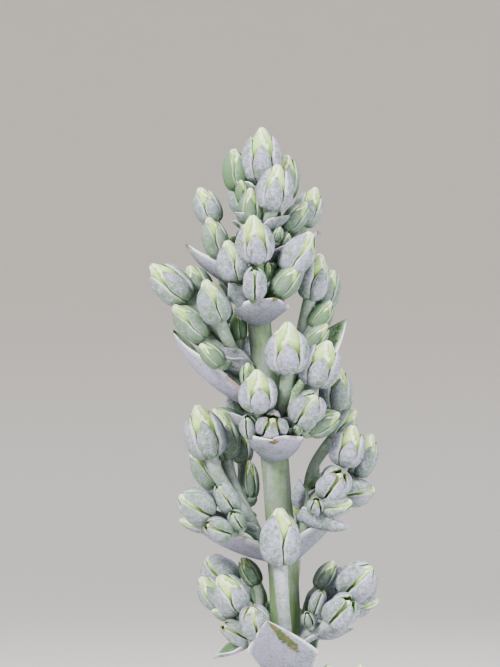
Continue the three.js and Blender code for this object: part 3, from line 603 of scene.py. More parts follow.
STOUT_SEPAL = np.array([
    (0.000, 0.150, 38, 0.05), (0.025, 0.290, 40, 0.11), (0.070, 0.390, 42, 0.15),
    (0.150, 0.475, 43, 0.19), (0.270, 0.535, 43.5, 0.22), (0.400, 0.560, 43, 0.24),
    (0.530, 0.550, 42, 0.245), (0.640, 0.515, 40.5, 0.24), (0.730, 0.465, 38.5, 0.225),
    (0.800, 0.405, 36, 0.20), (0.855, 0.345, 32, 0.17), (0.895, 0.285, 27, 0.135),
    (0.925, 0.230, 18, 0.09), (0.940, 0.195, 8, 0.05),
])
# Degrees round a sepal's section: close together at its two margins, where the pale rim with its painted
# highlight is
SEPAL_ROUND = np.array([6, 17, 29, 42, 62, 90, 118, 138, 151, 163, 174, 200, 235, 270, 305, 340])


def sepal(face, profile, reach=1.0, fullness=1.0, width=1.0, out=0.0, bow=0.0, coarse=False):
    """A shield on one side of a bud. face is the direction of its middle line in radians."""
    turn = np.radians(SEPAL_ROUND[::2] if coarse else SEPAL_ROUND)
    sides = len(turn)
    across = -np.sign(np.cos(turn)) * np.abs(np.cos(turn)) ** 0.9
    over = np.sin(turn)
    top = profile[-1, 0]
    rings, paint = [], {"along": [], "rim": [], "hidden": []}
    for z, radius, half, thick in profile:
        share = z / top
        radius = radius * (1 + (fullness - 1) * smooth(z, 0.05, 0.3)) + out * smooth(share, 0.5, 1.0)
        margin = 1 + 0.035 * np.sin(z * 21 + face * 7 + 2 * (across > 0))
        angle = face + np.radians(half * width) * across * margin + bow * share * share
        core = radius - thick / 2
        tuck = thick * 0.5 * np.abs(across) ** 3
        r = core + np.where(over > 0, np.abs(over) ** 0.7, over) * thick / 2 - tuck
        rings.append(np.column_stack([r * np.cos(angle), r * np.sin(angle), np.full(sides, z * reach)]))
        paint["along"].append(np.full(sides, share))
        # A pale rim near each margin, which carries a painted highlight
        paint["rim"].append(np.exp(-(((over - 0.40) / 0.14) ** 2)) * smooth(share, 0.02, 0.2))
        # Painted shade on the inner side and on the tucked margins, in the groove to the next sepal
        paint["hidden"].append(smooth(-over, -0.3, 0.05))
    radius = profile[-1, 1] + out - 0.012
    tip = np.array([radius * math.cos(face + bow), radius * math.sin(face + bow), (top + 0.02) * reach])
    foot = np.array([0.1 * math.cos(face), 0.1 * math.sin(face), -0.004])
    points, faces = loft(foot, rings, tip)
    paint = {key: np.concatenate([[rows[0][0]], *rows, [1.0]]) for key, rows in paint.items()}
    paint["hidden"][-1] = 0
    return points, faces, paint


# %% The flower in a bud
FLOWER_SIDES = 32
FLOWER_PROFILE = [  # height and corner radius
    (0.01, 0.10), (0.05, 0.26), (0.2, 0.35), (0.4, 0.365), (0.55, 0.375), (0.64, 0.368), (0.70, 0.345),
    (0.75, 0.305), (0.80, 0.258), (0.84, 0.220), (0.88, 0.182), (0.915, 0.148), (0.945, 0.120),
    (0.97, 0.092), (0.99, 0.056),
]


def flower(dice, top=1.0, stout=1.0):
    """The closed flower: four petals, each with one edge lapped over the next, wound to a point."""
    turn = np.arange(FLOWER_SIDES) * 2 * math.pi / FLOWER_SIDES
    wound = dice.choice((-1, 1)) * dice.uniform(0.9, 1.3)
    knobs = np.array([dice.uniform(-1, 1) for _ in turn])
    rings, paint = [], {"along": [], "rim": [], "hidden": []}
    for z, radius in FLOWER_PROFILE:
        lapped = np.mod(turn * 2 / math.pi + 0.5 + wound * (z - 0.5), 1)
        if wound < 0:
            lapped = 1 - lapped
        high = smooth(z, 0.5, 0.7)
        r = radius * stout * (0.9 + 0.1 * np.abs(np.sin(2 * turn)) + 0.15 * (lapped - 0.6) * high)
        r = r * (1 + 0.09 * knobs * smooth(z, 0.86, 0.95))
        rings.append(np.column_stack([r * np.cos(turn), r * np.sin(turn), z * top + 0.012 * knobs * high]))
        # Painted shade on the lower flower, which the sepals enclose, and under each lapped petal edge
        under_edge = 0.55 * (1 - smooth(lapped, 0.0, 0.25))
        paint["along"].append(np.full(FLOWER_SIDES, z))
        paint["rim"].append(smooth(lapped, 0.62, 0.86) * high)
        paint["hidden"].append(np.maximum(1 - smooth(z, 0.48, 0.70), under_edge))
    points, faces = loft((0, 0, 0), rings, (0, 0, top))
    paint = {key: np.concatenate([[rows[0][0]], *rows, [0.6]]) for key, rows in paint.items()}
    paint["hidden"][-1] = 0
    return points, faces, paint


# %% Models of a bud
def bud_model(
    name, seed, stout_sepals=False, reach=1.0, fullness=1.0, width=1.0, out=0.0,
    top=1.0, stout=1.0, coarse=False,
):
    dice = random.Random(seed)
    skin = Skin()
    for i in range(4):
        outer = i % 2 == 0  # the outer pair is narrower and stands proud of the inner pair
        profile = STOUT_SEPAL if stout_sepals else OUTER_SEPAL if outer else INNER_SEPAL
        points, faces, paint = sepal(
            i * math.pi / 2 + dice.uniform(-0.04, 0.04),
            profile,
            reach=reach * dice.uniform(0.97, 1.03),
            fullness=fullness * dice.uniform(0.98, 1.02),
            width=width * dice.uniform(0.97, 1.01),
            out=out + dice.uniform(-0.01, 0.03),
            bow=dice.uniform(-0.06, 0.06),
            coarse=coarse,
        )
        skin.add(points, faces, part=1, **paint)
    points, faces, paint = flower(dice, top=top, stout=stout)
    skin.add(points, faces, part=2, **paint)
    made = bpy.data.objects.new(name, skin.mesh(name))
    made.data.transform(Matrix.Scale(1 / MM, 4))
    return made


BUD_KINDS = {
    "bud_0": dict(seed=3),
    "bud_1": dict(seed=8, reach=1.04, out=0.01),
    "bud_2": dict(seed=14, reach=0.96, fullness=1.02),
    "bud_3": dict(seed=21, reach=1.02),
    "bud_4_stout": dict(seed=27, stout_sepals=True, width=0.96, stout=0.72, top=0.93),
    "bud_5_stout": dict(seed=35, stout_sepals=True, width=0.95, reach=0.93, stout=0.85, top=0.96),
    "bud_6_closed": dict(seed=41, reach=1.12, out=-0.06, stout=1.03, top=0.99),
    "bud_7_young": dict(seed=52, reach=1.15, out=-0.07, stout=0.98, top=0.98, coarse=True),
    "bud_8_young": dict(
        seed=57, stout_sepals=True, width=0.96, reach=1.03, stout=0.7, top=0.93, coarse=True,
    ),
    "bud_9_parting": dict(seed=63, reach=1.07, out=-0.02),
}
bud_models = bpy.data.collections.new("bud models")
bpy.context.scene.collection.children.link(bud_models)
for name, sizes in BUD_KINDS.items():
    bud_models.objects.link(bud_model(name, **sizes))

# %% [markdown]
# ## Sprays
#
# A spray starts in the axil of its bract. The first bud has its own stalk. To each side of it a branch
# climbs out, carries a small scale-like bract, and parts into the stalks of the other buds of that side.
# Stalks are drawn as curves that leave in one direction and bend into the bud's own axis.

# %% Stalks and small bracts
AXIL_OUT, AXIL_UP = 1.4, 3.4
BRACTEOLE = dict(long=8.5, wide=5.5, thick=1.6, rise=10, bend=30, cup=0.5)


def bud_axis(lean, tip):
    up = math.cos(math.radians(tip))
    lean = math.radians(lean)
    return np.array([math.sin(lean) * up, -math.sin(math.radians(tip)), math.cos(lean) * up])


def bud_foot(row):
    return np.array([row[0], -row[1], SPRAY_BASE + row[2]])


class Curve:
    """A stalk's middle line: it climbs out of start in one direction and bends into its bud."""

    def __init__(self, row, start, leaving, pull=0.3):
        foot = bud_foot(row)
        reach = np.linalg.norm(foot - start)
        under_bud = foot - bud_axis(row[3], row[4]) * 0.35 * reach
        self.knots = [start, start + leaving * pull * reach, under_bud, foot]

    def at(self, t):
        a, b, c, d = self.knots
        return a * (1 - t) ** 3 + b * 3 * t * (1 - t) ** 2 + c * 3 * t * t * (1 - t) + d * t**3

    def tangent(self, t):
        a, b, c, d = self.knots
        return unit((b - a) * (1 - t) ** 2 + (c - b) * 2 * t * (1 - t) + (d - c) * t * t)


STALK_RINGS, STALK_SIDES = 14, 14


def add_stalk(skin, row, curve):
    line = [curve.at(0) - curve.tangent(0) * 0.8]
    line += [curve.at(t) for t in np.linspace(0, 1, STALK_RINGS - 2)]
    line.append(bud_foot(row) + bud_axis(row[3], row[4]) * 0.05 * row[5])
    neck = 0.8 + 0.07 * row[5]
    share = np.linspace(0, 1, STALK_RINGS)
    radii = np.interp(share, [0, 0.5, 0.93, 1], [0.72, 0.84, 0.98, 0.9]) * neck
    points, faces = tube(line, radii, STALK_SIDES)
    share = spread(share, STALK_SIDES)
    # Painted shade at the foot of the stalk, in the axil
    skin.add(points, faces, part=0, along=share, hidden=0.6 * (1 - smooth(share, 0.05, 0.45)))


def add_bracteole(skin, curve, seed):
    along = curve.tangent(0.3)
    out = unit(np.array([along[0], along[1], 0.0]))
    points, faces, paint = blade(
        curve.at(0.3) - out * 0.5, out, outline=boat, steps=16, sides=16, wave=0.3, seed=seed, **BRACTEOLE
    )
    skin.add(points, faces, part=3, **paint)


# Small bracts that the main view shows one by one: foot and tip as sideways, towards the front and above
# SPRAY_BASE, then the width and the roll in degrees
SCALES = {
    "a_front": [((-4.5, 6, 10.5), (-15, 9, 6.6), 6.5, 0), ((5.6, 4, 11.5), (18, 9, 13.4), 7.5, -45)],
    "b_right": [((5, 8, 40), (16.8, 11.5, 37.4), 5.5, -65), ((4.8, 5, 41.5), (5.2, 8, 48.6), 3.6, -20)],
    "c_front": [((-5, 5, 59), (-11.4, 9, 64.6), 5.5, 0), ((5, 5, 60), (14, 7, 64.6), 6.5, -55)],
    "d_left": [((-6.6, 3, 73), (-13.2, 8, 79.8), 6.5, 55)],
    "d_right": [((4.6, 2, 76), (8, 3, 83.6), 4.2, -30)],
    "e_front": [((-7.2, 8, 89.6), (-11.2, 13, 94.6), 4.4, 50), ((0, 5, 91), (6.4, 8, 98.4), 4.6, -50)],
    "g_front": [((-5.4, 2, 104.4), (-8.8, 3, 108.4), 3.6, 0)],
}


def add_scale(skin, foot, tip, wide, roll, seed):
    foot, tip = (np.array([x, -toward, SPRAY_BASE + up]) for x, toward, up in (foot, tip))
    reach = tip - foot
    level = unit(np.array([reach[0], reach[1], 0.0]))
    rise = math.degrees(math.atan2(reach[2], reach.dot(level)))
    points, faces, paint = blade(
        foot, level, np.linalg.norm(reach), wide, 1.3, rise - 14, 28, 0.5, boat,
        steps=16, sides=16, wave=0.4, seed=seed, roll=roll,
    )
    skin.add(points, faces, part=3, **paint)


# %% [markdown]
# ## Buds on their stalks
#
# The buds are put in place by Geometry Nodes. Each spray's mesh holds its stalks and, beside them, one
# loose point for each bud, with the number of its model, its turn, its size and two numbers for its
# colour. The tree parts the loose points from the stalks, sets a bud on each, and turns the copies into
# real faces. Joining copies in Python would work too, but the tree keeps the models and their places apart.

# %% A wrapper for Geometry Nodes
class GeometryTree:
    """A Geometry Nodes tree with named inputs, and one method that adds any node."""

    def __init__(self, name, inputs):
        self.tree = bpy.data.node_groups.new(name, "GeometryNodeTree")
        face = self.tree.interface
        for key, kind in {"Geometry": "Geometry", **inputs}.items():
            face.new_socket(key, in_out="INPUT", socket_type="NodeSocket" + kind)
        face.new_socket("Geometry", in_out="OUTPUT", socket_type="NodeSocketGeometry")
        self.given = self.tree.nodes.new("NodeGroupInput").outputs

    def node(self, kind, settings=None, inputs=None):
        """Adds a node with its settings and the values or links of its sockets, and returns its outputs."""
        made = self.tree.nodes.new(kind)
        for key, value in (settings or {}).items():
            setattr(made, key, value)
        for key, value in (inputs or {}).items():
            if isinstance(value, bpy.types.NodeSocket):
                self.tree.links.new(value, made.inputs[key])
            else:
                made.inputs[key].default_value = value
        return made.outputs

    def copies(self, models, points, inputs):
        """Sets one of the models on each point."""
        split = {"Separate Children": True, "Reset Children": True, "Collection": models}
        chosen = self.node("GeometryNodeCollectionInfo", None, split)["Instances"]
        values = {"Pick Instance": True, "Points": points, "Instance": chosen, **inputs}
        return self.node("GeometryNodeInstanceOnPoints", None, values)["Instances"]

    def ended(self, *shapes):
        """Joins the shapes, turns copies into real faces, gives them the finish and ends the tree."""
        joined = self.tree.nodes.new("GeometryNodeJoinGeometry")
        for shape in shapes:
            self.tree.links.new(shape, joined.inputs["Geometry"])
        real = self.node("GeometryNodeRealizeInstances", None, {"Geometry": joined.outputs["Geometry"]})
        values = {"Geometry": real["Geometry"], "Material": self.given["Finish"]}
        finished = self.node("GeometryNodeSetMaterial", None, values)["Geometry"]
        self.node("NodeGroupOutput", None, {"Geometry": finished})
        return self.tree


# %% A tree that sets buds on points
def bud_tree():
    inputs = {"Bud models": "Collection", "Bud size": "Float", "Finish": "Material"}
    tree = GeometryTree("buds on points", inputs)

    def named(name, sort):
        kind = dict(data_type=sort)
        return tree.node("GeometryNodeInputNamedAttribute", kind, {"Name": name})["Attribute"]

    chosen = {"Geometry": tree.given["Geometry"], "Selection": named("is_bud", "BOOLEAN")}
    parted = tree.node("GeometryNodeSeparateGeometry", dict(domain="POINT"), chosen)
    scaled = {0: named("size", "FLOAT_VECTOR"), "Scale": tree.given["Bud size"]}
    size = tree.node("ShaderNodeVectorMath", dict(operation="SCALE"), scaled)["Vector"]
    place = {"Instance Index": named("kind", "INT"), "Rotation": named("turned", "FLOAT_VECTOR")}
    buds = tree.copies(tree.given["Bud models"], parted["Selection"], {**place, "Scale": size})
    return tree.ended(parted["Inverted"], buds)


# %% A way to run a tree
def input_names(tree):
    """The identifier of each named input, which a modifier is set by."""
    return {s.name: s.identifier for s in tree.interface.items_tree if s.in_out == "INPUT"}


def made_real(name, mesh, tree, settings):
    """Runs a tree on a mesh and returns a plain object that holds the result."""
    carrier = bpy.data.objects.new(name + ".carrier", mesh)
    bpy.context.scene.collection.objects.link(carrier)
    modifier = carrier.modifiers.new("tree", "NODES")
    modifier.node_group = tree
    names = input_names(tree)
    for key, value in settings.items():
        modifier[names[key]] = value
    carrier.update_tag()
    graph = bpy.context.evaluated_depsgraph_get()
    graph.update()
    result = bpy.data.meshes.new_from_object(carrier.evaluated_get(graph), depsgraph=graph)
    bpy.data.objects.remove(carrier)
    result.name = name
    return bpy.data.objects.new(name, result)


BUD_TREE = bud_tree()
print("inputs:", input_names(BUD_TREE))

# %% [markdown]
# ## Finishes
#
# Plant tissue is green, and the bloom on it is a thin coat of pale powder. It is thick on what faces the
# open air, thin on new growth, and rubbed off where something has touched it. Grooves and recesses get
# painted shade, where the bloom thins and the green darkens, and the rims of sepals a painted highlight.
# The finish mixes all this by the painted values and by noise. A picture of a leaf could be wrapped round
# instead, but noise in the object's own space has no seams and needs no file.

# %% Shader maths as Python expressions
class Wire:
    """A socket that Python's operators work on. Each operator adds one Math node."""

    def __init__(self, finish, socket):
        self.finish = finish
        self.socket = socket

    def _math(self, operation, a, b):
        return self.finish.node("ShaderNodeMath", dict(operation=operation), {0: a, 1: b})

    def __add__(self, other):
        return self._math("ADD", self, other)

    def __radd__(self, other):
        return self._math("ADD", other, self)

    def __sub__(self, other):
        return self._math("SUBTRACT", self, other)

    def __rsub__(self, other):
        return self._math("SUBTRACT", other, self)

    def __mul__(self, other):
        return self._math("MULTIPLY", self, other)

    def __rmul__(self, other):
        return self._math("MULTIPLY", other, self)

    def step(self, low, high):
        """0 under low, 1 over high, with an even curve between them."""
        values = {"Value": self, "From Min": low, "From Max": high}
        return self.finish.node("ShaderNodeMapRange", dict(interpolation_type="SMOOTHSTEP"), values)

    def held(self):
        """Kept between 0 and 1."""
        settings = dict(operation="ADD", use_clamp=True)
        return self.finish.node("ShaderNodeMath", settings, {0: self, 1: 0.0})


# %% A material to which any node can be added
class Finish:
    """A material, with one method that adds any node."""

    def __init__(self, name, roughness=0.6):
        self.material = bpy.data.materials.new(name)
        self.material.use_nodes = True
        self.tree = self.material.node_tree
        self.shader = self.tree.nodes["Principled BSDF"]
        self.shader.inputs["Roughness"].default_value = roughness
        self.shader.inputs["Specular IOR Level"].default_value = 0.3

    def node(self, kind, settings=None, inputs=None, output=0):
        made = self.tree.nodes.new(kind)
        for key, value in (settings or {}).items():
            setattr(made, key, value)
        for key, value in (inputs or {}).items():
            if isinstance(value, Wire):
                self.tree.links.new(value.socket, made.inputs[key])
            else:
                made.inputs[key].default_value = value
        return Wire(self, made.outputs[output])

    def painted(self, name):
        return self.node("ShaderNodeAttribute", dict(attribute_name=name), output="Fac")

    def place(self):
        return self.node("ShaderNodeTexCoord", output="Object")

    def noise(self, scale, detail=2.0, rough=0.5, twist=0.0, stretch=None):
        where = self.place()
        if stretch:
            where = self.node("ShaderNodeMapping", None, {"Vector": where, "Scale": stretch})
        values = {"Vector": where, "Scale": scale, "Detail": detail, "Roughness": rough}
        return self.node("ShaderNodeTexNoise", None, {**values, "Distortion": twist})

    def mix(self, factor, a, b):
        """Colour a where factor is 0 and colour b where it is 1."""
        a, b = (v if isinstance(v, Wire) else (*v, 1.0) for v in (a, b))
        return self.node("ShaderNodeMix", dict(data_type="RGBA"), {0: factor, 6: a, 7: b}, output=2)

    def colour(self, wire):
        self.tree.links.new(wire.socket, self.shader.inputs["Base Color"])

    def rough(self, wire):
        self.tree.links.new(wire.socket, self.shader.inputs["Roughness"])

    def bump(self, height, strength, distance):
        values = {"Height": height, "Strength": strength, "Distance": distance}
        made = self.node("ShaderNodeBump", None, values)
        self.tree.links.new(made.socket, self.shader.inputs["Normal"])


# %% Colours of bloom, tissue and painted shade, and of pale rims with a painted highlight
BLOOM = (0.345, 0.325, 0.455)
PALE_GREEN = (0.14, 0.22, 0.13)
# The dark green painted as shade in the grooves and recesses of buds; bracts take a little of it on their
# inner face
DEEP_GREEN = (0.06, 0.16, 0.02)
# Pale rims with a painted highlight on them
WHITE_RIM_AND_HIGHLIGHT = (0.80, 0.82, 0.80)
CORK = (0.20, 0.13, 0.07)
RUBBED = (0.15, 0.20, 0.14)
print("bloom and tissue:", BLOOM, PALE_GREEN, DEEP_GREEN)

# %% [markdown]
# ## Finish of the buds
#
# The oldest buds are lilac-white and the young ones pale green, so each bud carries a number for how green
# it still is, and one for chance. The painted values tell sepals, flower, stalk and small bracts apart. One
# finish reads them all, so that a spray stays one piece with one material.

# %% Finish of the buds and their stalks
buds_finish = Finish("dusted buds with painted shade and highlights", roughness=0.75)
f = buds_finish
part, along, rim, hidden = (f.painted(key) for key in PAINT if key != "scar")
green, chance = f.painted("green"), f.painted("chance")
fine = f.noise(2400, detail=2.0, rough=0.7)
grain = f.noise(950, detail=3.0, rough=0.65)
patch = f.noise(260, detail=2.0)
marks = f.noise(420, detail=4.0, rough=0.6, twist=1.4)
is_flower = part.step(1.4, 1.6) * (1 - part.step(2.4, 2.6))
is_sepal = part.step(0.4, 0.6) * (1 - part.step(1.4, 1.6))
is_stalk = 1 - part.step(0.4, 0.6)
is_scale = part.step(2.4, 2.6)
green = green * (1 - 0.8 * is_scale)

# %% Bloom on sepals, stalks and small bracts, with painted shade and painted rim highlights
speckle = ((fine - 0.5) * 3.2 + (grain - 0.5) * 3.2) * (1 - 0.5 * is_stalk) * (1 - 0.4 * green)
# Painted shade at the foot of each sepal, where the bloom thins and the green shows
shaded_base = (1 - along.step(0.0, 0.4)) * is_sepal
# Bloom thins on young buds, and also as painted shade in grooves, recesses and at the foot of each sepal
thickness = 0.74 - 0.2 * green - 1.0 * hidden - 0.25 * shaded_base + 0.16 * is_stalk
dust = (thickness + speckle + (patch - 0.5) * 1.8).held()
# The green under the bloom, darkened as painted shade in grooves and recesses; small bracts take less of it
# on their inner face, and noise makes the tone uneven
depth = hidden * (1.2 - 0.9 * is_scale) + (patch - 0.5) * 0.4
tissue = f.mix(depth.held(), PALE_GREEN, DEEP_GREEN)
powder = f.mix(green, BLOOM, (0.13, 0.225, 0.125))
stalk_powder = f.mix(green, (0.40, 0.42, 0.46), (0.16, 0.26, 0.12))
powder = f.mix(is_stalk, powder, stalk_powder)
powder = f.mix(grain.step(0.52, 0.70) * (0.5 - 0.35 * green), powder, (0.54, 0.54, 0.60))
skin_colour = f.mix(dust, tissue, powder)
worn = marks.step(0.60, 0.67) * is_sepal * (0.3 + 0.7 * chance)
skin_colour = f.mix(worn, skin_colour, RUBBED)
# Pale rims of sepals and small bracts, with a painted highlight on them, kept off the painted shade
edge = rim * rim * (is_sepal + is_scale) * (1 - hidden) * (0.85 + (patch - 0.5) * 2.0)
skin_colour = f.mix(edge.held(), skin_colour, WHITE_RIM_AND_HIGHLIGHT)
browned = along.step(0.93, 1.0) * is_sepal * chance.step(0.5, 0.65)
skin_colour = f.mix(browned * 0.75, skin_colour, CORK)

# %% Petals with frost on their edges, and painted shade where sepals and lapped edges cover them
# The petals' green, darker as painted shade on their covered parts, greener on young buds, uneven by noise
shade = (1.0 * hidden + 0.3 * green + (patch - 0.5) * 0.6).held()
petal = f.mix(shade, (0.42, 0.58, 0.22), (0.13, 0.25, 0.04))
# Frost on the proud edges and the tip, and none in the painted shade
frost = rim * 0.7 + along.step(0.80, 0.98) * 0.5 + (grain - 0.5) * 2.0 + (fine - 0.5) * 1.2 - hidden
petal = f.mix(frost.held(), petal, (0.74, 0.77, 0.70))
f.colour(f.mix(is_flower, skin_colour, petal))
f.bump(grain * 0.6 + fine * 0.4, 0.5, 0.0004)
print("nodes in the buds' finish:", len(f.tree.nodes))

# %% [markdown]
# ## Finishes of bracts, leaves and stem
#
# A bract has the same bloom as a bud, a thin white rim that is partly a painted highlight and browns in
# places, and cork where it was hurt.
# Leaves are greener, with a red margin and rubbed places, and their bloom makes them matt. On the stem the
# bloom has run into streaks along its length, which a noise stretched upwards gives.

# %% Finish of the bracts
bract_finish = Finish("dusted bracts", roughness=0.7)
f = bract_finish
rim, hidden, scar = f.painted("rim"), f.painted("hidden"), f.painted("scar")
grain = f.noise(1300, detail=3.0, rough=0.65)
patch = f.noise(180, detail=3.0)
marks = f.noise(260, detail=4.0, rough=0.62, twist=1.2)
fine = f.noise(2200, detail=2.0, rough=0.7)
dust = 0.80 - 0.05 * hidden + (grain - 0.5) * 2.4 + (fine - 0.5) * 2.2 + (patch - 0.5) * 1.6
powder = f.mix(hidden, BLOOM, (0.42, 0.54, 0.38))
colour = f.mix(dust.held(), f.mix(hidden * 0.4, PALE_GREEN, DEEP_GREEN), powder)
colour = f.mix(marks.step(0.64, 0.72) * 0.6, colour, (0.17, 0.24, 0.13))
# The pale rim, partly a painted highlight, where the bract hasn't browned
colour = f.mix(rim * (1 - patch.step(0.55, 0.66)) * 0.8, colour, WHITE_RIM_AND_HIGHLIGHT)
colour = f.mix(rim * patch.step(0.58, 0.68) * 0.6, colour, (0.42, 0.24, 0.16))
colour = f.mix(rim * marks.step(0.6, 0.68), colour, CORK)
scarred = f.mix((grain - 0.5) * 3.0 + marks.step(0.4, 0.6), (0.22, 0.14, 0.08), (0.09, 0.13, 0.05))
ragged = scar * 1.3 - 0.35 + (grain - 0.5) * 2.4 + (fine - 0.5) * 1.4
f.colour(f.mix(ragged.step(0.1, 0.5), colour, scarred))
f.bump(grain * 0.6 + patch * 0.4 - scar * 0.8, 0.45, 0.0005)

# %% Finish of the leaves
leaf_finish = Finish("dusted leaves", roughness=0.55)
f = leaf_finish
rim, hidden = f.painted("rim"), f.painted("hidden")
grain = f.noise(700, detail=4.0, rough=0.65)
patch = f.noise(60, detail=4.0, rough=0.55)
streak = f.noise(90, detail=3.0, twist=0.8)
scratch = f.noise(150, detail=5.0, rough=0.7, twist=2.0)
dust = (0.78 + (patch - 0.5) * 2.0 + (grain - 0.5) * 1.2 - 0.2 * hidden).held()
colour = f.mix(dust, (0.12, 0.21, 0.08), (0.32, 0.41, 0.35))
colour = f.mix(scratch.step(0.66, 0.72) * 0.6, colour, (0.17, 0.26, 0.12))
colour = f.mix(rim * (0.5 + 0.5 * streak.step(0.35, 0.6)) * 0.9, colour, (0.42, 0.085, 0.065))
f.colour(colour)
f.rough(0.42 + 0.35 * dust)
f.bump(grain * 0.4 + patch * 0.6, 0.25, 0.0008)

# %% Finish of the stem
stem_finish = Finish("dusted stem", roughness=0.68)
f = stem_finish
along, hidden = f.painted("along"), f.painted("hidden")
grain = f.noise(1100, detail=3.0, rough=0.65)
streak = f.noise(420, detail=3.0, rough=0.6, stretch=(1.0, 1.0, 0.16))
patch = f.noise(120, detail=3.0)
thickness = 0.42 - 0.22 * (1 - along.step(0.76, 0.86)) - hidden * 0.5
dust = (thickness + (streak - 0.5) * 3.2 + (grain - 0.5) * 1.2 + (patch - 0.5) * 1.0).held()
colour = f.mix(dust, (0.15, 0.23, 0.11), (0.29, 0.315, 0.315))
f.colour(f.mix(hidden, colour, (0.30, 0.24, 0.15)))
f.bump(grain * 0.5 + streak * 0.5, 0.3, 0.0005)
print("finishes:", [m.name for m in bpy.data.materials])

# %% [markdown]
# ## Putting the sprays together
#
# Buds in view differ in how open and how green they are, so a table picks the model and the greenness of
# each. Buds out of view get theirs from their size and lean: small ones are young and shut, strongly bent
# ones are stout, and chance, from a fixed seed, decides between models that are alike.

# %% What each bud in view is like
# The number of its model, and how green it still is
SEEN = {
    "crown": [(0, 0.0), (6, 1.0), (6, 0.7)],
    "g_front": [(6, 0.0), (6, 0.9), (7, 1.0), (7, 0.8), (7, 0.8)],
    "f_left": [(9, 0.35), (9, 0.65)],
    "f_right": [(0, 0.35), (6, 0.6)],
    "e_front": [(2, 0.0), (9, 0.15), (6, 0.15), (4, 0.1), (6, 0.8), (6, 1.0)],
    "d_left": [(1, 0.35), (9, 0.35), (9, 0.7), (6, 0.9), (6, 0.7), (6, 1.0)],
    "d_right": [(3, 0.2), (6, 0.5), (6, 1.0), (6, 0.8)],
    "c_front": [(2, 0.0), (0, 0.0), (2, 0.0), (5, 0.1), (4, 0.0), (8, 0.35), (7, 0.9), (6, 0.75),
                (7, 0.9), (7, 0.9)],
    "b_left": [(3, 0.2), (9, 0.4), (6, 0.5), (6, 0.5), (6, 0.7), (5, 0.3), (4, 0.3), (6, 0.4), (4, 0.4),
               (8, 0.6)],
    "b_right": [(0, 0.05), (9, 0.2), (9, 0.4), (4, 0.0), (6, 0.3), (8, 0.2), (5, 0.2)],
    "a_front": [(9, 0.0), (9, 0.15), (6, 0.35), (5, 0.2), (7, 0.5), (4, 0.3), (8, 0.6), (5, 0.1), (4, 0.05),
                (6, 0.3), (6, 0.5), (8, 0.3), (8, 0.5)],
}

# %% Model and greenness of every bud
def bud_looks(key, rows, dice):
    """The model's number, the greenness and the chance of each bud of a spray."""
    seen = SEEN.get(key, [])
    looks = []
    for i, row in enumerate(rows):
        tip, long, girth = row[4:7]
        chance = dice.random()
        if i < len(seen):
            looks.append((*seen[i], chance))
            continue
        green = np.clip(1.5 - girth / 6.6 + dice.uniform(-0.15, 0.15), 0.0, 0.9)
        if long < 6.6:
            alike = (7, 8)
        elif abs(tip) >= 34 or abs(tip) >= 25 and girth > 0.8 * long:
            alike = (4, 5)
        elif long < 9.3:
            alike = (6,)
        else:
            alike = (0, 1, 2, 3, 9)
        looks.append((alike[0] if len(alike) == 1 else dice.choice(alike), green, chance))
    return looks


def bud_turn(row):
    """The turn that stands a model, with its first sepal to the front, in its bud's place."""
    axis = bud_axis(row[3], row[4])
    facing_back = len(row) > 8
    front = np.array([0.0, 1.0 if facing_back else -1.0, 0.0])
    across = Vector(unit(front - axis * front.dot(axis)))
    across.rotate(Matrix.Rotation(math.radians(row[7]), 3, Vector(axis)))
    return Matrix((across, Vector(axis).cross(across), Vector(axis))).transposed().to_euler()


# %% [markdown]
# ## Stalks of a spray
#
# The first row of a spray is its leader. The others are shared between a branch on each side, and each
# branch goes to the first bud of its side, while the stalks of the rest part from it one after another. A
# rule for how plants branch could grow them too, but the buds already have their places here.

# %% Stalks of a spray
# Stalks that first climb close beside the stem: how far they lean out, and how long they keep to it
HUGGING = {"b_right": (0.05, 0.68)}


def spray_skin(key, level, way, rows, seed):
    """The stalks and small bracts of a spray: its leader's stalk and a branch to each side."""
    middle, radius = stem_at(SPRAY_BASE + LEVEL[level])
    out = outward(way)
    side = np.cross((0, 0, 1), out)
    node = middle + out * (radius + AXIL_OUT) + np.array([0, 0, AXIL_UP])
    spread_out, pull = HUGGING.get(key, (0.3, 0.3))
    climbing = unit(out * spread_out + np.array([0, 0, 1.0]))
    skin = Skin()
    leader, *others = rows
    add_stalk(skin, leader, Curve(leader, node, climbing, pull))
    halves = [[], []]
    for row in others:
        from_stem = np.array([row[0] - middle[0], -row[1], 0])
        halves[int(from_stem.dot(side) >= 0)].append(row)
    for half, mine in enumerate(halves):
        if not mine:
            continue
        if key in HUGGING:
            mine.sort(key=lambda row: -row[2])
        main, *rest = mine
        branch = Curve(main, node + side * (0.3 if half else -0.3), climbing, pull)
        add_stalk(skin, main, branch)
        add_bracteole(skin, branch, seed + half)
        for i, row in enumerate(rest):
            at = 0.35 + 0.4 * i / len(rest)
            add_stalk(skin, row, Curve(row, branch.at(at), branch.tangent(at)))
    for i, row in enumerate(SCALES.get(key, [])):
        add_scale(skin, *row, seed + 5 + i)
    return skin


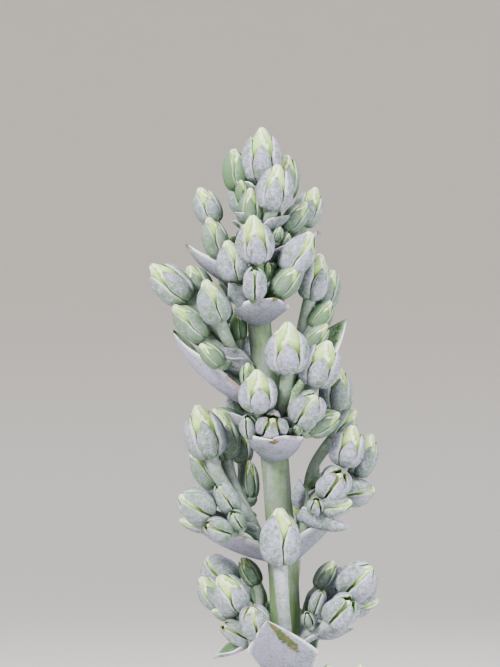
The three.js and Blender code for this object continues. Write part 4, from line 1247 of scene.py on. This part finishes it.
# %% Make the sprays
# How green the stalks of a spray are: 0.45 where this says nothing
STALK_GREEN = {"a_front": 0.0, "b_left": 0.3, "c_front": 0.6, "d_right": 0.35, "e_front": 1.0}
LAYERS = {
    "is_bud": ("BOOLEAN", "value"), "kind": ("INT", "value"), "turned": ("FLOAT_VECTOR", "vector"),
    "size": ("FLOAT_VECTOR", "vector"), "green": ("FLOAT", "value"), "chance": ("FLOAT", "value"),
}
spray_objects = {}
for key, (level, way, rows) in SPRAYS.items():
    seed = sum(ord(letter) * (i + 3) for i, letter in enumerate(key))
    mesh = spray_skin(key, level, way, rows, seed).mesh(f"spray_{key}")
    stalks = len(mesh.vertices)
    mesh.vertices.add(len(rows))
    for vertex, row in zip(mesh.vertices[stalks:], rows):
        vertex.co = Vector(bud_foot(row)) * MM
    plain = (False, 0, (0.0, 0.0, 0.0), (1.0, 1.0, 1.0), STALK_GREEN.get(key, 0.45), 0.3)
    numbers = [plain] * stalks
    for row, (kind, green, chance) in zip(rows, bud_looks(key, rows, random.Random(seed))):
        long, girth = row[5] * MM, row[6] * MM
        numbers.append((True, kind, tuple(bud_turn(row)), (girth, girth, long), green, chance))
    for (name, (sort, field)), values in zip(LAYERS.items(), zip(*numbers)):
        mesh.attributes.new(name, sort, "POINT").data.foreach_set(field, np.array(values).ravel())
    settings = {"Bud models": bud_models, "Bud size": 1.0, "Finish": buds_finish.material}
    spray_objects[key] = made_real(f"spray.{key}", mesh, BUD_TREE, settings)
for model in list(bud_models.objects):
    bpy.data.objects.remove(model)
bpy.data.collections.remove(bud_models)
print("sprays:", {k: len(o.data.polygons) for k, o in spray_objects.items()})

# %% [markdown]
# ## Pot
#
# The pot is a plain clay one with a band round its rim and a drain hole. It is thrown on a wheel, so it is
# made like that: a profile is spun round an upright axis. First each corner of the profile is cut back and
# bent, as a potter's sponge leaves it. A Screw modifier would spin it too, but a loop shows what happens.

# %% Spin a profile
def spun(profile, steps, closed=True):
    """Points and faces of a profile turned about the upright axis. A closed profile joins its ends."""
    points, faces = [], []
    count = len(profile)
    for k in range(steps):
        a = 2 * math.pi * k / steps
        points += [(r * math.cos(a), r * math.sin(a), z) for r, z in profile]
        here, there = k * count, (k + 1) % steps * count
        for i in range(count if closed else count - 1):
            j = (i + 1) % count
            faces.append((here + i, there + i, there + j, here + j))
    return points, faces


def rounded(profile, radius, steps=4):
    """A closed profile with each corner cut back and bent."""
    made = []
    count = len(profile)
    for i in range(count):
        before, corner, after = (np.array(profile[j % count], float) for j in (i - 1, i, i + 1))
        reach = min(radius, 0.45 * np.linalg.norm(corner - before), 0.45 * np.linalg.norm(after - corner))
        a = corner + unit(before - corner) * reach
        b = corner + unit(after - corner) * reach
        for t in np.linspace(0, 1, steps):
            made.append(a * (1 - t) ** 2 + corner * 2 * t * (1 - t) + b * t * t)
    return made


def parted(profile, longest):
    """A closed profile with its long stretches parted into shorter ones."""
    made = []
    for i, p in enumerate(profile):
        q = profile[(i + 1) % len(profile)]
        parts = max(1, int(np.linalg.norm(q - p) / longest))
        made += [p + (q - p) * k / parts for k in range(parts)]
    return made


# %% Make the pot
POT = dict(height=125, foot=50, rim=72, band=27, wall=7, floor=9, drain=7, step=3.5)


def pot_wall(z):
    """The radius of the pot's outside below its band, at a height."""
    return POT["foot"] + (POT["rim"] - POT["step"] - POT["foot"]) * z / (POT["height"] - POT["band"])


band_foot = POT["height"] - POT["band"]
in_top = pot_wall(POT["height"]) - POT["wall"]
in_foot = pot_wall(POT["floor"]) - POT["wall"]
profile = [
    (POT["drain"], 0), (POT["foot"], 0), (pot_wall(band_foot), band_foot), (POT["rim"], band_foot + 1.5),
    (POT["rim"] + 1, POT["height"]), (in_top, POT["height"]), (in_foot, POT["floor"]),
    (POT["drain"], POT["floor"]),
]
points, faces = spun(parted(rounded(profile, radius=2.4), longest=6), steps=128)
pot_skin = Skin()
pot_skin.add(np.array(points), faces)
pot_mesh = pot_skin.mesh("pot")
print("pot:", len(pot_mesh.polygons), "faces")

# %% [markdown]
# ## Soil
#
# Potting soil is a low heap, highest round the stem, of dark crumbs with a few pale grains of pumice. Its
# surface is a skin over rings, roughened by chance. Crumbs are scattered on it by Geometry Nodes, on the
# faces that look up only. They have few faces each, because there are thousands of them.

# %% Make the soil
SOIL_TOP = 111
SOIL_SIDES = 96
turn = np.arange(SOIL_SIDES) * 2 * math.pi / SOIL_SIDES


def soil_height(r, a):
    return SOIL_TOP + 3 * np.exp(-r / 20) + 0.9 * np.sin(3 * a + r / 9) * np.minimum(1, r / 20)


def level_ring(r, z):
    return np.column_stack([r * np.cos(turn), r * np.sin(turn), z + 0 * turn])


edge = pot_wall(SOIL_TOP - 2) - POT["wall"] - 0.3
rings = [
    level_ring(in_foot - 4, POT["floor"] + 0.4),
    level_ring(in_foot, POT["floor"] + 4),
    level_ring(edge, soil_height(edge, turn) - 2),
]
rough = np.random.default_rng(5)
for r in np.linspace(edge - 1.5, 2, 30):
    lumps = rough.uniform(-0.5, 0.5, SOIL_SIDES) * min(1, r / 8)
    rings.append(level_ring(r, soil_height(r, turn) + lumps))
soil_skin = Skin()
soil_skin.add(*loft((0, 0, POT["floor"] + 0.4), rings, (0, 0, soil_height(0, 0))))
soil_mesh = soil_skin.mesh("soil")
print("soil before its crumbs:", len(soil_mesh.polygons), "faces")

# %% A tree that scatters crumbs
def crumb_tree():
    """Scatters grains over the faces that look up."""
    inputs = {"Grains": "Collection", "Grains per square metre": "Float", "Smallest": "Float"}
    tree = GeometryTree("crumbs on soil", {**inputs, "Largest": "Float", "Finish": "Material"})
    given = tree.given

    def chosen(kind, seed, **limits):
        values = {"Seed": seed, **limits}
        return tree.node("FunctionNodeRandomValue", dict(data_type=kind), values)["Value"]

    place = tree.node("GeometryNodeInputPosition")["Position"]
    height = tree.node("ShaderNodeSeparateXYZ", None, {"Vector": place})["Z"]
    above = dict(data_type="FLOAT", operation="GREATER_THAN")
    on_top = tree.node("FunctionNodeCompare", above, {"A": height, "B": (SOIL_TOP - 1.9) * MM})["Result"]
    where = {"Mesh": given["Geometry"], "Selection": on_top, "Density": given["Grains per square metre"]}
    points = tree.node("GeometryNodeDistributePointsOnFaces", None, {"Seed": 11, **where})["Points"]
    size = chosen("FLOAT", 4, Min=given["Smallest"], Max=given["Largest"])
    spin = chosen("FLOAT_VECTOR", 9, Max=(6.28, 6.28, 6.28))
    grains = tree.copies(given["Grains"], points, {"Rotation": spin, "Scale": size})
    layer = {"Name": "chance", "Geometry": grains, "Value": chosen("FLOAT", 2)}
    toned = tree.node("GeometryNodeStoreNamedAttribute", dict(data_type="FLOAT", domain="INSTANCE"), layer)
    return tree.ended(given["Geometry"], toned["Geometry"])


# %% [markdown]
# ## Finishes of clay and soil
#
# Fired clay is matt and a little cloudy. Turning leaves fine level lines on it, which come from a noise
# that is drawn out sideways, and water leaves pale salt where it dries on the wall. Soil is dark and
# crumbly. Each crumb has its own chance number, and the few with a high one are pale, as pumice is.

# %% Finish of the clay
clay_finish = Finish("fired clay", roughness=0.88)
f = clay_finish
cloud = f.noise(28, detail=4.0, rough=0.55)
grain = f.noise(900, detail=3.0)
salt = f.noise(38, detail=6.0, rough=0.7)
rings_on = f.noise(420, detail=2.0, stretch=(0.05, 0.05, 1.0))
colour = f.mix(cloud, (0.33, 0.115, 0.05), (0.46, 0.19, 0.095))
colour = f.mix((grain - 0.35) * 0.5, colour, (0.52, 0.25, 0.14))
colour = f.mix(salt.step(0.48, 0.74) * 0.36, colour, (0.62, 0.48, 0.38))
f.colour(colour)
f.bump(rings_on * 0.5 + grain * 0.3 + cloud * 0.2, 0.3, 0.0006)

# %% Finish of the soil
soil_finish = Finish("potting soil", roughness=0.95)
f = soil_finish
chance = f.painted("chance")
grain = f.noise(600, detail=4.0)
colour = f.mix(grain.step(0.35, 0.65), (0.035, 0.022, 0.014), (0.11, 0.07, 0.045))
colour = f.mix(chance.step(0.3, 0.6) * 0.7, colour, (0.15, 0.095, 0.055))
colour = f.mix(chance.step(0.86, 0.87), colour, (0.50, 0.46, 0.40))
f.colour(colour)
f.bump(grain, 0.6, 0.0008)

# %% Cover the soil with crumbs
grain_models = bpy.data.collections.new("grain models")
bpy.context.scene.collection.children.link(grain_models)
for i in range(3):
    bpy.ops.mesh.primitive_ico_sphere_add(subdivisions=1, radius=0.5)
    grain_model = bpy.context.object
    grain_model.name = f"grain_{i}"
    shapes = np.random.default_rng(i)
    for vertex in grain_model.data.vertices:
        vertex.co *= shapes.uniform(0.72, 1.15)
        vertex.co.z *= 0.75
    for home in list(grain_model.users_collection):
        home.objects.unlink(grain_model)
    grain_models.objects.link(grain_model)
soil_settings = {
    "Grains": grain_models,
    "Grains per square metre": 260000.0,
    "Smallest": 0.9 * MM,
    "Largest": 2.9 * MM,
    "Finish": soil_finish.material,
}
soil = made_real("soil.heap", soil_mesh, crumb_tree(), soil_settings)
for model in list(grain_models.objects):
    bpy.data.objects.remove(model)
bpy.data.collections.remove(grain_models)
print("soil:", len(soil.data.polygons), "faces")

# %% [markdown]
# ## Everything takes the place of its solid
#
# Each finished piece is shown instead of the solid that it follows, and moves with the same body. The
# plant doesn't move in its pot, so there is only one body.

# %% Put the pieces in place
def show(obj, node, finish=None):
    bpy.context.scene.collection.objects.link(obj)
    if finish:
        obj.data.materials.clear()
        obj.data.materials.append(finish.material)
    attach(obj, "root")
    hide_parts(node)


show(bpy.data.objects.new("stem.rod", stem_mesh), "stem", stem_finish)
blades = (leaf_meshes, "leaf", leaf_finish), (bract_meshes, "bract", bract_finish)
for meshes, slot_name, finish in blades:
    for name, mesh in meshes.items():
        show(bpy.data.objects.new(name.replace("_", ".", 1), mesh), name, finish)
for key, obj in spray_objects.items():
    show(obj, f"spray_{key}")
show(bpy.data.objects.new("pot.clay", pot_mesh), "pot", clay_finish)
show(soil, "soil")

# %% [markdown]
# ## Studio
#
# A pale floor runs up into a backdrop with no edge between them. The plant is pale too, so the backdrop is
# a little darker than the buds. Light is soft: a strong lamp high on the left, a weaker and wider one on
# the right, one behind that draws the outline, and the widest one overhead. A picture of a real room could
# light the plant as well, but four lamps need no file and are easily changed.

# %% Floor and backdrop
FLOOR_EDGE, BOWL_EDGE, BOWL_TOP = 2.6, 4.2, 4.0
bowl_profile = [(0.0, 0.0), (1.3, 0.0), (FLOOR_EDGE, 0.0)]
for t in np.linspace(0.1, 1.0, 12) * math.pi / 2:
    reach = BOWL_EDGE - FLOOR_EDGE
    bowl_profile.append((FLOOR_EDGE + reach * math.sin(t), reach * (1 - math.cos(t))))
bowl_profile.append((BOWL_EDGE, BOWL_TOP))
points, faces = spun(bowl_profile, steps=64, closed=False)
bowl_mesh = bpy.data.meshes.new("studio floor")
bowl_mesh.from_pydata(points, [], faces)
bowl_mesh.shade_smooth()
studio = bpy.data.objects.new("studio.floor", bowl_mesh)
bpy.context.scene.collection.objects.link(studio)
floor_finish = Finish("pale paper", roughness=0.95)
f = floor_finish
height = f.node("ShaderNodeSeparateXYZ", None, {0: f.place()}, output="Z")
f.colour(f.mix(height.step(0.0, 0.6), (0.74, 0.73, 0.71), (0.62, 0.585, 0.545)))
bowl_mesh.materials.append(floor_finish.material)

# %% Lamps and air
LIT_PLACE = Vector((0, 0, 0.38))


def lamp(name, place, size, power, colour=(1, 1, 1)):
    data = bpy.data.lights.new(name, "AREA")
    data.shape = "DISK"
    data.size = size
    data.energy = power
    data.color = colour
    made = bpy.data.objects.new(name, data)
    made.location = place
    made.rotation_euler = (Vector(place) - LIT_PLACE).to_track_quat("Z", "Y").to_euler()
    bpy.context.scene.collection.objects.link(made)


lamp("key lamp", (-0.9, -1.1, 1.5), 0.5, 52, (1.0, 0.985, 0.96))
lamp("fill lamp", (1.4, -0.9, 0.7), 1.2, 26, (0.95, 0.97, 1.0))
lamp("back lamp", (0.5, 1.5, 1.6), 1.0, 24)
lamp("top lamp", (0.0, 0.0, 3.4), 2.4, 60)
world = bpy.data.worlds.new("studio air")
world.use_nodes = True
world.node_tree.nodes["Background"].inputs["Color"].default_value = (0.93, 0.95, 1.0, 1.0)
world.node_tree.nodes["Background"].inputs["Strength"].default_value = 0.52
bpy.context.scene.world = world
bpy.context.scene.view_settings.look = "AgX - Medium High Contrast"

# %% [markdown]
# ## Camera
#
# The camera stands level with the spike, where the photographer's did. Its lens follows from its distance
# and from the height that has to fill the frame, so either can be changed by itself.

# %% Camera
DISTANCE, FRAME_HEIGHT = 0.450, 0.160  # the top 160 mm of the spike fill the frame's height
camera_data = bpy.data.cameras.new("camera")
camera_data.sensor_width = 36
camera_data.lens = 36 * DISTANCE / FRAME_HEIGHT
camera_data.clip_start = 0.01  # nearer than usual, because the plant is small
camera = bpy.data.objects.new("camera", camera_data)
camera.location = (-0.0064, -DISTANCE, 0.4578)
camera.rotation_euler = (math.pi / 2, 0, 0)
bpy.context.scene.collection.objects.link(camera)
bpy.context.scene.camera = camera
print("camera:", [round(v, 4) for v in camera.location], "lens", round(camera_data.lens, 2))
